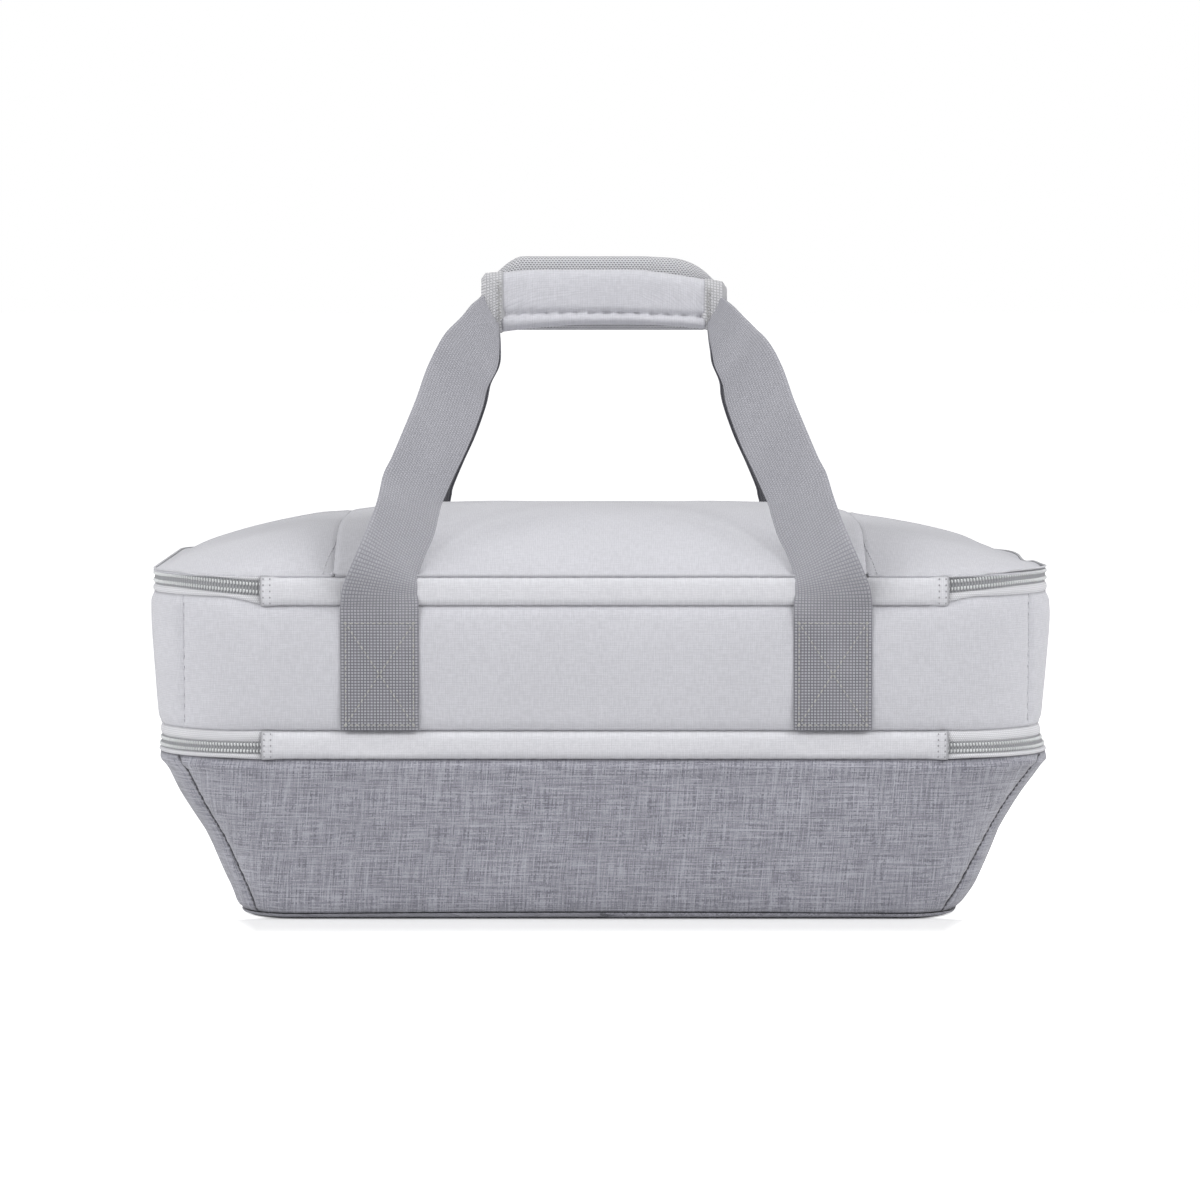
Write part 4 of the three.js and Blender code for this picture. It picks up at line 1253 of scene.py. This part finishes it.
def grip_grid(face_sign, first, last, low, high, deep, step=0.0025):
    """The cloth of a grip half, from its bottom lip up the outside, over the top and a little way down
    the inside."""
    count = max(int((last - first) / step), 4)
    near = np.array([0, 0.4, 1.0, 1.8]) * MM
    between = np.linspace(first + 0.003, last - 0.003, count)
    x = np.concatenate([first + near, between, last - near[::-1]])
    bottom, top = low(x), high(x)
    middle, half = (bottom + top) / 2, (top - bottom) / 2
    lip = np.arcsin(np.clip((middle - SLOT_LOW) / half, 0.02, 0.98) ** 1.6)
    fold = np.arcsin(np.clip((SLOT_HIGH - middle) / half, 0.02, 0.98) ** 1.6)
    share = np.linspace(0, 1, 58)[None, :]
    t = (lip - math.pi)[:, None] * (1 - share) + (math.pi - fold)[:, None] * share
    c, s = np.cos(t), np.sin(t)
    inner, outer = 0.0006, deep(x)[:, None]
    y = face_sign * ((inner + outer) / 2 + (outer - inner) / 2 * np.sign(c) * np.abs(c) ** 0.5)
    z = middle[:, None] + half[:, None] * np.sign(s) * np.abs(s) ** 0.62
    points = stack(x[:, None], y, z)
    run = np.linalg.norm(np.diff(points[len(x) // 2], axis=0), axis=1)
    spots = stack(x[:, None], np.concatenate([[0], np.cumsum(run)])[None])
    hint = stack(0 * c, face_sign * c, s)
    thickness = np.minimum(0.0047, 0.4 * (outer - inner)) + 0 * z
    return points, spots, hint, thickness


def puff(piece, held, cap=0.0011, pressure=3.0):
    """Blows a padded piece up a little as cloth, with its held points kept, and keeps the result."""
    mesh = piece.data
    before = coordinates(mesh)
    pinned = piece.vertex_groups.new(name="held")
    pinned.add([int(i) for i in np.nonzero(held(before))[0]], 1.0, "REPLACE")
    cloth = piece.modifiers.new("Cloth", "CLOTH")
    cloth.settings.quality = 6
    cloth.settings.mass = 0.2
    cloth.settings.use_pressure = True
    cloth.settings.uniform_pressure_force = pressure
    cloth.settings.vertex_group_mass = "held"
    cloth.settings.effector_weights.gravity = 0
    frames = 20
    cloth.point_cache.frame_start, cloth.point_cache.frame_end = 1, frames
    for step in range(1, frames + 1):
        scene.frame_set(step)
    blown = piece.evaluated_get(bpy.context.evaluated_depsgraph_get())
    move = coordinates(blown.to_mesh()) - before
    blown.to_mesh_clear()
    move = move * np.minimum(1, cap / np.maximum(np.linalg.norm(move, axis=1, keepdims=True), 1e-9))
    piece.modifiers.remove(cloth)
    piece.vertex_groups.remove(pinned)
    scene.frame_set(1)
    mesh.vertices.foreach_set("co", (before + move).ravel())
    mesh.update()
    furthest = float(np.linalg.norm(move, axis=1).max())
    print(piece.name, "puffed by up to", round(furthest / MM, 2), "mm")


def back_low(x):
    return 0.2884 - 0.0044 * ((x - 0.008) / 0.06) ** 2


def back_high(x):
    left = np.clip((-x - 0.033) / 0.025, 0, 1)
    right = np.clip((x - 0.018) / 0.042, 0, 1.1) ** 1.2
    return 0.3160 - 0.0023 * left - 0.0062 * right


def grip_seam(x):
    return 0.2943 - 0.0012 * (x / 0.055) ** 2 - 0.0008 * np.clip(x / 0.05, 0, 1)


def make_back_pad(inner):
    points, spots, hint, thickness = grip_grid(
        -1, GRIP_SHIFT - inner, GRIP_SHIFT + inner, back_low, back_high, lambda x: 0.0116 + 0 * x)
    x, above = points[..., 0], points[..., 2] - grip_seam(points[..., 0])
    crown = 0.0010 * (1 - ((x - GRIP_SHIFT) / inner) ** 4)
    groove = 0.0022 * bump(above, 0.0013)
    roll = 0.0010 * bump(above + 0.0046, 0.003)
    soft = 0.0009 * lumps(points, 0.016, 5) + pucker(np.abs(above), x, 0.0078, 1, 0.005, 0.0006)
    points[..., 1] -= (crown + soft + roll - groove) * np.clip(-hint[..., 1] * 1.4, 0, 1)
    pad = thick_sheet("back_grip_padding", points, spots, hint, thickness, PALE, 70)
    puff(pad, lambda p: (p[:, 1] > -0.0084) | (np.abs(p[:, 2] - grip_seam(p[:, 0])) < 0.0012))
    dress(pad, "back_handle", "pale_cloth", "back_grip_pad")


def make_back_binding(side, sign, inner):
    """The bound edge at one end of the near grip half. Returns the path of its zigzag stitches."""
    first, last = sorted((sign * inner + sign * GAP, sign * GRIP_HALF))
    points, spots, hint, thickness = grip_grid(
        -1, GRIP_SHIFT + first, GRIP_SHIFT + last,
        lambda x: back_low(x) - 0.0005, lambda x: back_high(x) + 0.0005,
        lambda x: 0.0123 + 0.0002 * np.sin(x * 900), step=0.0014)
    points[..., 1] -= 0.0002 * lumps(points, 0.008, 9)
    edge = thick_sheet(f"back_grip_edge_{side}", points, spots, hint, thickness, BINDING, 70)
    dress(edge, "back_handle", "zip_tape", f"back_grip_binding_{side}")
    z = np.linspace(0.2899, 0.3105 if sign < 0 else 0.3070, 15)
    x = GRIP_SHIFT + sign * (inner + 0.0016) + 0.0010 * np.where(np.arange(15) % 2, 1, -1)
    row, outside = 6, slice(14, 40)
    y = np.interp(z, points[row, outside, 2], points[row, outside, 1])
    return stack(x, y - 0.0001, z), NEARER


def make_back_grip():
    inner = GRIP_HALF - GRIP_BOUND
    make_back_pad(inner)
    stitches = [make_back_binding(side, sign, inner) for side, sign in SIDES]
    x = np.linspace(GRIP_SHIFT - inner + 0.001, GRIP_SHIFT + inner - 0.001, 60)
    line = stack(x, -0.0103, grip_seam(x))
    threads = elements("back_grip_seam_thread", [(line, NEARER)], DARK_THREAD, STITCH_PITCH,
                       (0.0021, 0.0005, 0.0008), 0.1, 8)
    dress(threads, "back_handle", "pale_cloth")
    zigzag = elements("back_grip_edge_thread", stitches, STRAP_THREAD, 0.0011,
                      (0.0012, 0.0004, 0.0005), 0.1, 3)
    dress(zigzag, "back_handle", "zip_tape")


def make_front_grip():
    def high(x):
        left = np.clip((-0.0395 - x) / 0.0115, 0, 1.3) ** 1.6
        right = np.clip((x - 0.027) / 0.0285, 0, 1.15) ** 3
        return 0.3227 - 0.0069 * left - 0.0092 * right - 0.0005 * smooth((x - 0.02) / 0.014)

    def low(x):
        return 0.2852 + 0.003 * smooth((np.abs(x - GRIP_SHIFT) - 0.05) / 0.01)

    def deep(x):
        return 0.0122 - 0.003 * smooth((np.abs(x - GRIP_SHIFT) - 0.052) / 0.008)

    points, spots, hint, thickness = grip_grid(
        1, GRIP_SHIFT - GRIP_HALF, GRIP_SHIFT + GRIP_HALF, low, high, deep)
    points[..., 1] += (0.0006 * lumps(points, 0.018, 8) + 0.0008) * np.clip(hint[..., 1] * 1.4, 0, 1)
    pad = thick_sheet("front_grip_padding", points, spots, hint, thickness, SPACER, 70)
    puff(pad, lambda p: p[:, 1] < 0.0084)
    dress(pad, "front_handle", "spacer_mesh", "front_grip_pad")


def make_slab(name, sign, reach, depths, heights, material, body, slot, node):
    """A thin soft slab with rounded edges, along X."""
    y = sorted((sign * depths[0], sign * depths[1]))
    low = np.array((GRIP_SHIFT - reach, y[0], GRIP_HEIGHT - heights[0]))
    high = np.array((GRIP_SHIFT + reach, y[1], GRIP_HEIGHT + heights[1]))
    middle, half = (low + high) / 2, (high - low) / 2
    angle = np.linspace(0, 2 * math.pi, 29)
    c, s = np.cos(angle), np.sin(angle)
    ends = np.array([0, 0.0006, 0.0016, 0.003]) / (2 * half[0])
    rings, spots = [], []
    for share in np.concatenate([ends, np.linspace(0.04, 0.96, 30), 1 - ends[::-1]]):
        shrink = 1 - 0.35 * math.exp(-(min(share, 1 - share) * 2 * half[0] / 0.001))
        y = middle[1] + half[1] * shrink * np.sign(c) * np.abs(c) ** 0.3
        z = middle[2] + half[2] * (0.9 + 0.1 * shrink) * np.sign(s) * np.abs(s) ** 0.3
        rings.append(stack(low[0] + share * 2 * half[0], y, z))
        spots.append(rings[-1][:, [0, 2]])
    dress(closed_loft(name, rings, spots, material, 60), body, slot, node)


def make_grip_insides(name, sign):
    kind = "hook" if name == "back" else "loop"
    make_slab(f"{name}_grip_band", sign, 0.0565, (0.0034, 0.0068), (0.0068, 0.0088), WEBBING,
              f"{name}_handle", "webbing", f"{name}_grip_core")
    make_slab(f"{name}_grip_{kind}_tape", sign, 0.048, (0.0004, 0.003), (0.009, 0.009), HOOK,
              f"{name}_handle", "hook_and_loop", f"{name}_grip_{kind}_patch")


# ---- Seam stitches


def up_seam(seam, z0, z1, off):
    """Paths up the four corner seams."""
    z = np.linspace(z0, z1, 40)
    left, right = seam(z, "left"), seam(z, "right")
    places = (right, -left, half_girth(z) - right, half_girth(z) + left)
    return [wall_path(place, z, off) for place in places]


def make_corner_stitches():
    base = up_seam(base_seam, 0.004, BASE_TOP, 0.0004)
    wall = up_seam(wall_seam, WALL_BOTTOM + 0.0005, WALL_TOP + 0.003, -0.0001)
    for name, body, paths, slot, thread, wide in (
            ("base", "base", base, "heather_cloth", HEATHER_THREAD, 0.0014),
            ("wall", "deck", wall, "pale_cloth", DARK_THREAD, 0.0007)):
        piece = elements(f"{name}_seam_thread", paths, thread, STITCH_PITCH,
                         (0.0021, wide, 0.0009), 0.1, 5)
        dress(piece, body, slot)


def make_strip_stitches(name, low, high):
    """Two rows of stitches over each folded end of a hinge strip."""
    z = np.linspace(low + 0.0016, high - 0.0016, 12)
    off = 0.0017 + strip_crown((z - low) / (high - low))
    places = (-STRIP_END + 0.0044, -STRIP_END + 0.0012, RIGHT_END - 0.0044, RIGHT_END - 0.0012)
    paths = [(on_wall(place + 0 * z, z, off), NEARER) for place in places]
    piece = elements(f"{name}_strip_thread", paths, STRIP_THREAD, STITCH_PITCH,
                     (0.0012, 0.0008, 0.0006), 0.1, 6)
    bend_with_hinge(piece)


def make_lid_stitches():
    paths = []
    half_y = plan(RIM)[1]
    for sign in (-1, 1):
        y = np.linspace(-half_y + 0.002, half_y - 0.002, 160)
        x = sign * LID_SEAM + 0 * y
        paths.append((stack(x, y, cloth_height(x, y) + 0.0002), np.array([0, 0, 1.0])))
        for end in (-1, 1):
            y = end * (half_y - np.linspace(0.002, 0.034, 24))
            x = sign * (LID_SEAM + 0.0043 * smooth((np.abs(y) - half_y + 0.034) / 0.03))
            beside = np.abs(x) - LID_SEAM + 0.0002
            points, normal = lid_points(x, y, beside, beside, 14 + sign)
            paths.append((points + normal * 0.0001, np.array([0, end * 0.4, 1.0])))
    piece = elements("lid_seam_thread", paths, DARK_THREAD, STITCH_PITCH,
                     (0.0020, 0.0006, 0.0006), 0.1, 7)
    dress(piece, "lid", "pale_cloth")


# ---- Assembly

make_base_cloth()
make_base_bottom()
make_wall_cloth()
make_lid_cloth()
make_strip("lower_hinge_cloth", BASE_TOP + GAP, WALL_BOTTOM - GAP, "lower_hinge_strip")
make_strip("upper_hinge_cloth", WALL_TOP + GAP, RIM - GAP, "upper_hinge_strip")
make_linings_and_foam()
make_lid_layer("lid_foam_dome", BEHIND_SKIN, BEHIND_SKIN + FOAM, LINING_LOW + GAP, OPEN_FOAM, "foam",
               "lid_foam")
make_lid_layer("lid_lining_foil", LINING_IN, LINING_IN + LINER, LINING_LOW, FOIL, "foil_lining",
               "lid_lining")
make_zip("lower", LOWER_ZIP, BASE_TOP, WALL_BOTTOM, "base", "deck")
make_zip("upper", UPPER_ZIP, WALL_TOP, RIM, "deck", "lid")
for level in ("lower", "upper"):
    for side, _ in SIDES:
        softened(f"{level}_slider_{side}", 0.0004, METAL, "slider_metal")
        softened(f"{level}_pull_{side}", 0.0005, PULL, "pull")
for name, face_sign in HANDLES:
    for side, sign in SIDES:
        make_anchor(name, face_sign, side, sign)
        make_leg(name, face_sign, side, sign)
for name, face_sign in HANDLES:
    make_box_stitches(name, face_sign)
make_back_grip()
make_front_grip()
for name, face_sign in HANDLES:
    make_grip_insides(name, face_sign)
make_corner_stitches()
make_strip_stitches("lower", BASE_TOP, WALL_BOTTOM)
make_strip_stitches("upper", WALL_TOP, RIM)
make_lid_stitches()
for board in ("base_board", "deck_board"):
    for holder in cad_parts[board].material_slots:
        holder.material = BOARD


# ---- Floor, light and camera


def make_floor():
    """A white floor that glows away from the carrier, where the camera sees it."""
    mesh = bpy.data.meshes.new("studio_floor")
    half = 30.0
    corners = [(-half, -half, 0), (half, -half, 0), (half, half, 0), (-half, half, 0)]
    mesh.from_pydata(corners, [], [(0, 1, 2, 3)])
    f = Finish("Studio floor", 1.0, Specular_IOR_Level=0.0)
    f.colour((0.86, 0.86, 0.86, 1))
    path = f.node("ShaderNodeLightPath").outputs
    seen = f.sum("MAXIMUM", path["Is Camera Ray"], path["Is Glossy Ray"])
    seen = f.sum("MAXIMUM", seen, path["Is Transmission Ray"])
    place = f.node("ShaderNodeSeparateXYZ", {"Vector": f.solid()}).outputs
    side = f.ramp(place[1], -0.131, -0.121, 0.165, 0.145)
    beside = f.sum("MAXIMUM", f.sum("SUBTRACT", f.sum("ABSOLUTE", place[0]), side), 0.0)
    before = f.sum("MAXIMUM", f.sum("SUBTRACT", f.sum("ABSOLUTE", place[1]), 0.125), 0.0)
    away = f.sum("ADD", f.sum("MULTIPLY", beside, 4.0), before)
    glow = f.ramp(away, 0.03, 0.12, 0.0, 0.8)
    put(f.tree, f.shader.inputs["Emission Color"], (1, 1, 1, 1))
    put(f.tree, f.shader.inputs["Emission Strength"], f.sum("MULTIPLY", seen, glow))
    floor = add_object("studio_floor", mesh)
    mesh.materials.append(f.material)


def make_world():
    """Soft grey light from all round, with plain white for the camera and in reflections."""
    world = bpy.data.worlds.new("Studio")
    scene.world = world
    world.use_nodes = True
    tree = world.node_tree
    tree.nodes.clear()
    white = (1, 1, 1, 1)
    soft = add_node(tree, "ShaderNodeBackground", {"Color": white, "Strength": 0.43}).outputs[0]
    bright = add_node(tree, "ShaderNodeBackground", {"Color": white, "Strength": 1.0}).outputs[0]
    path = add_node(tree, "ShaderNodeLightPath").outputs
    seen = path["Is Camera Ray"]
    for label in ("Is Glossy Ray", "Is Transmission Ray"):
        either = add_node(tree, "ShaderNodeMath", {0: seen, 1: path[label]}, operation="MAXIMUM")
        seen = either.outputs[0]
    mix = add_node(tree, "ShaderNodeMixShader", {0: seen, 1: soft, 2: bright}).outputs[0]
    add_node(tree, "ShaderNodeOutputWorld", {0: mix})


def make_lamp(name, place, size, power):
    data = bpy.data.lights.new(name, "AREA")
    data.shape, data.size, data.energy = "SQUARE", size, power
    lamp = add_object(name, data)
    lamp.location = place
    aim = Vector((0, 0, 0.14)) - Vector(place)
    lamp.rotation_euler = aim.to_track_quat("-Z", "Y").to_euler()


def make_camera():
    data = bpy.data.cameras.new("Camera")
    data.sensor_width = 36.0
    data.lens = 161.5
    data.clip_end = 100.0
    camera = add_object("Camera", data)
    tilt = math.radians(3.6)
    distance = 2.6
    target = Vector((0.0, -0.142, 0.15684))
    camera.location = target + distance * Vector((0, -math.cos(tilt), math.sin(tilt)))
    camera.rotation_euler = (math.pi / 2 - tilt, 0, 0)
    scene.camera = camera


make_floor()
make_world()
make_lamp("Left softbox", (-1.1, -0.75, 1.0), 0.8, 12.1)
make_lamp("Right softbox", (1.05, -0.7, 1.15), 0.8, 13.6)
make_lamp("Top softbox", (0.0, -0.3, 2.4), 1.6, 1.6)
make_camera()
scene.view_settings.view_transform = "Standard"
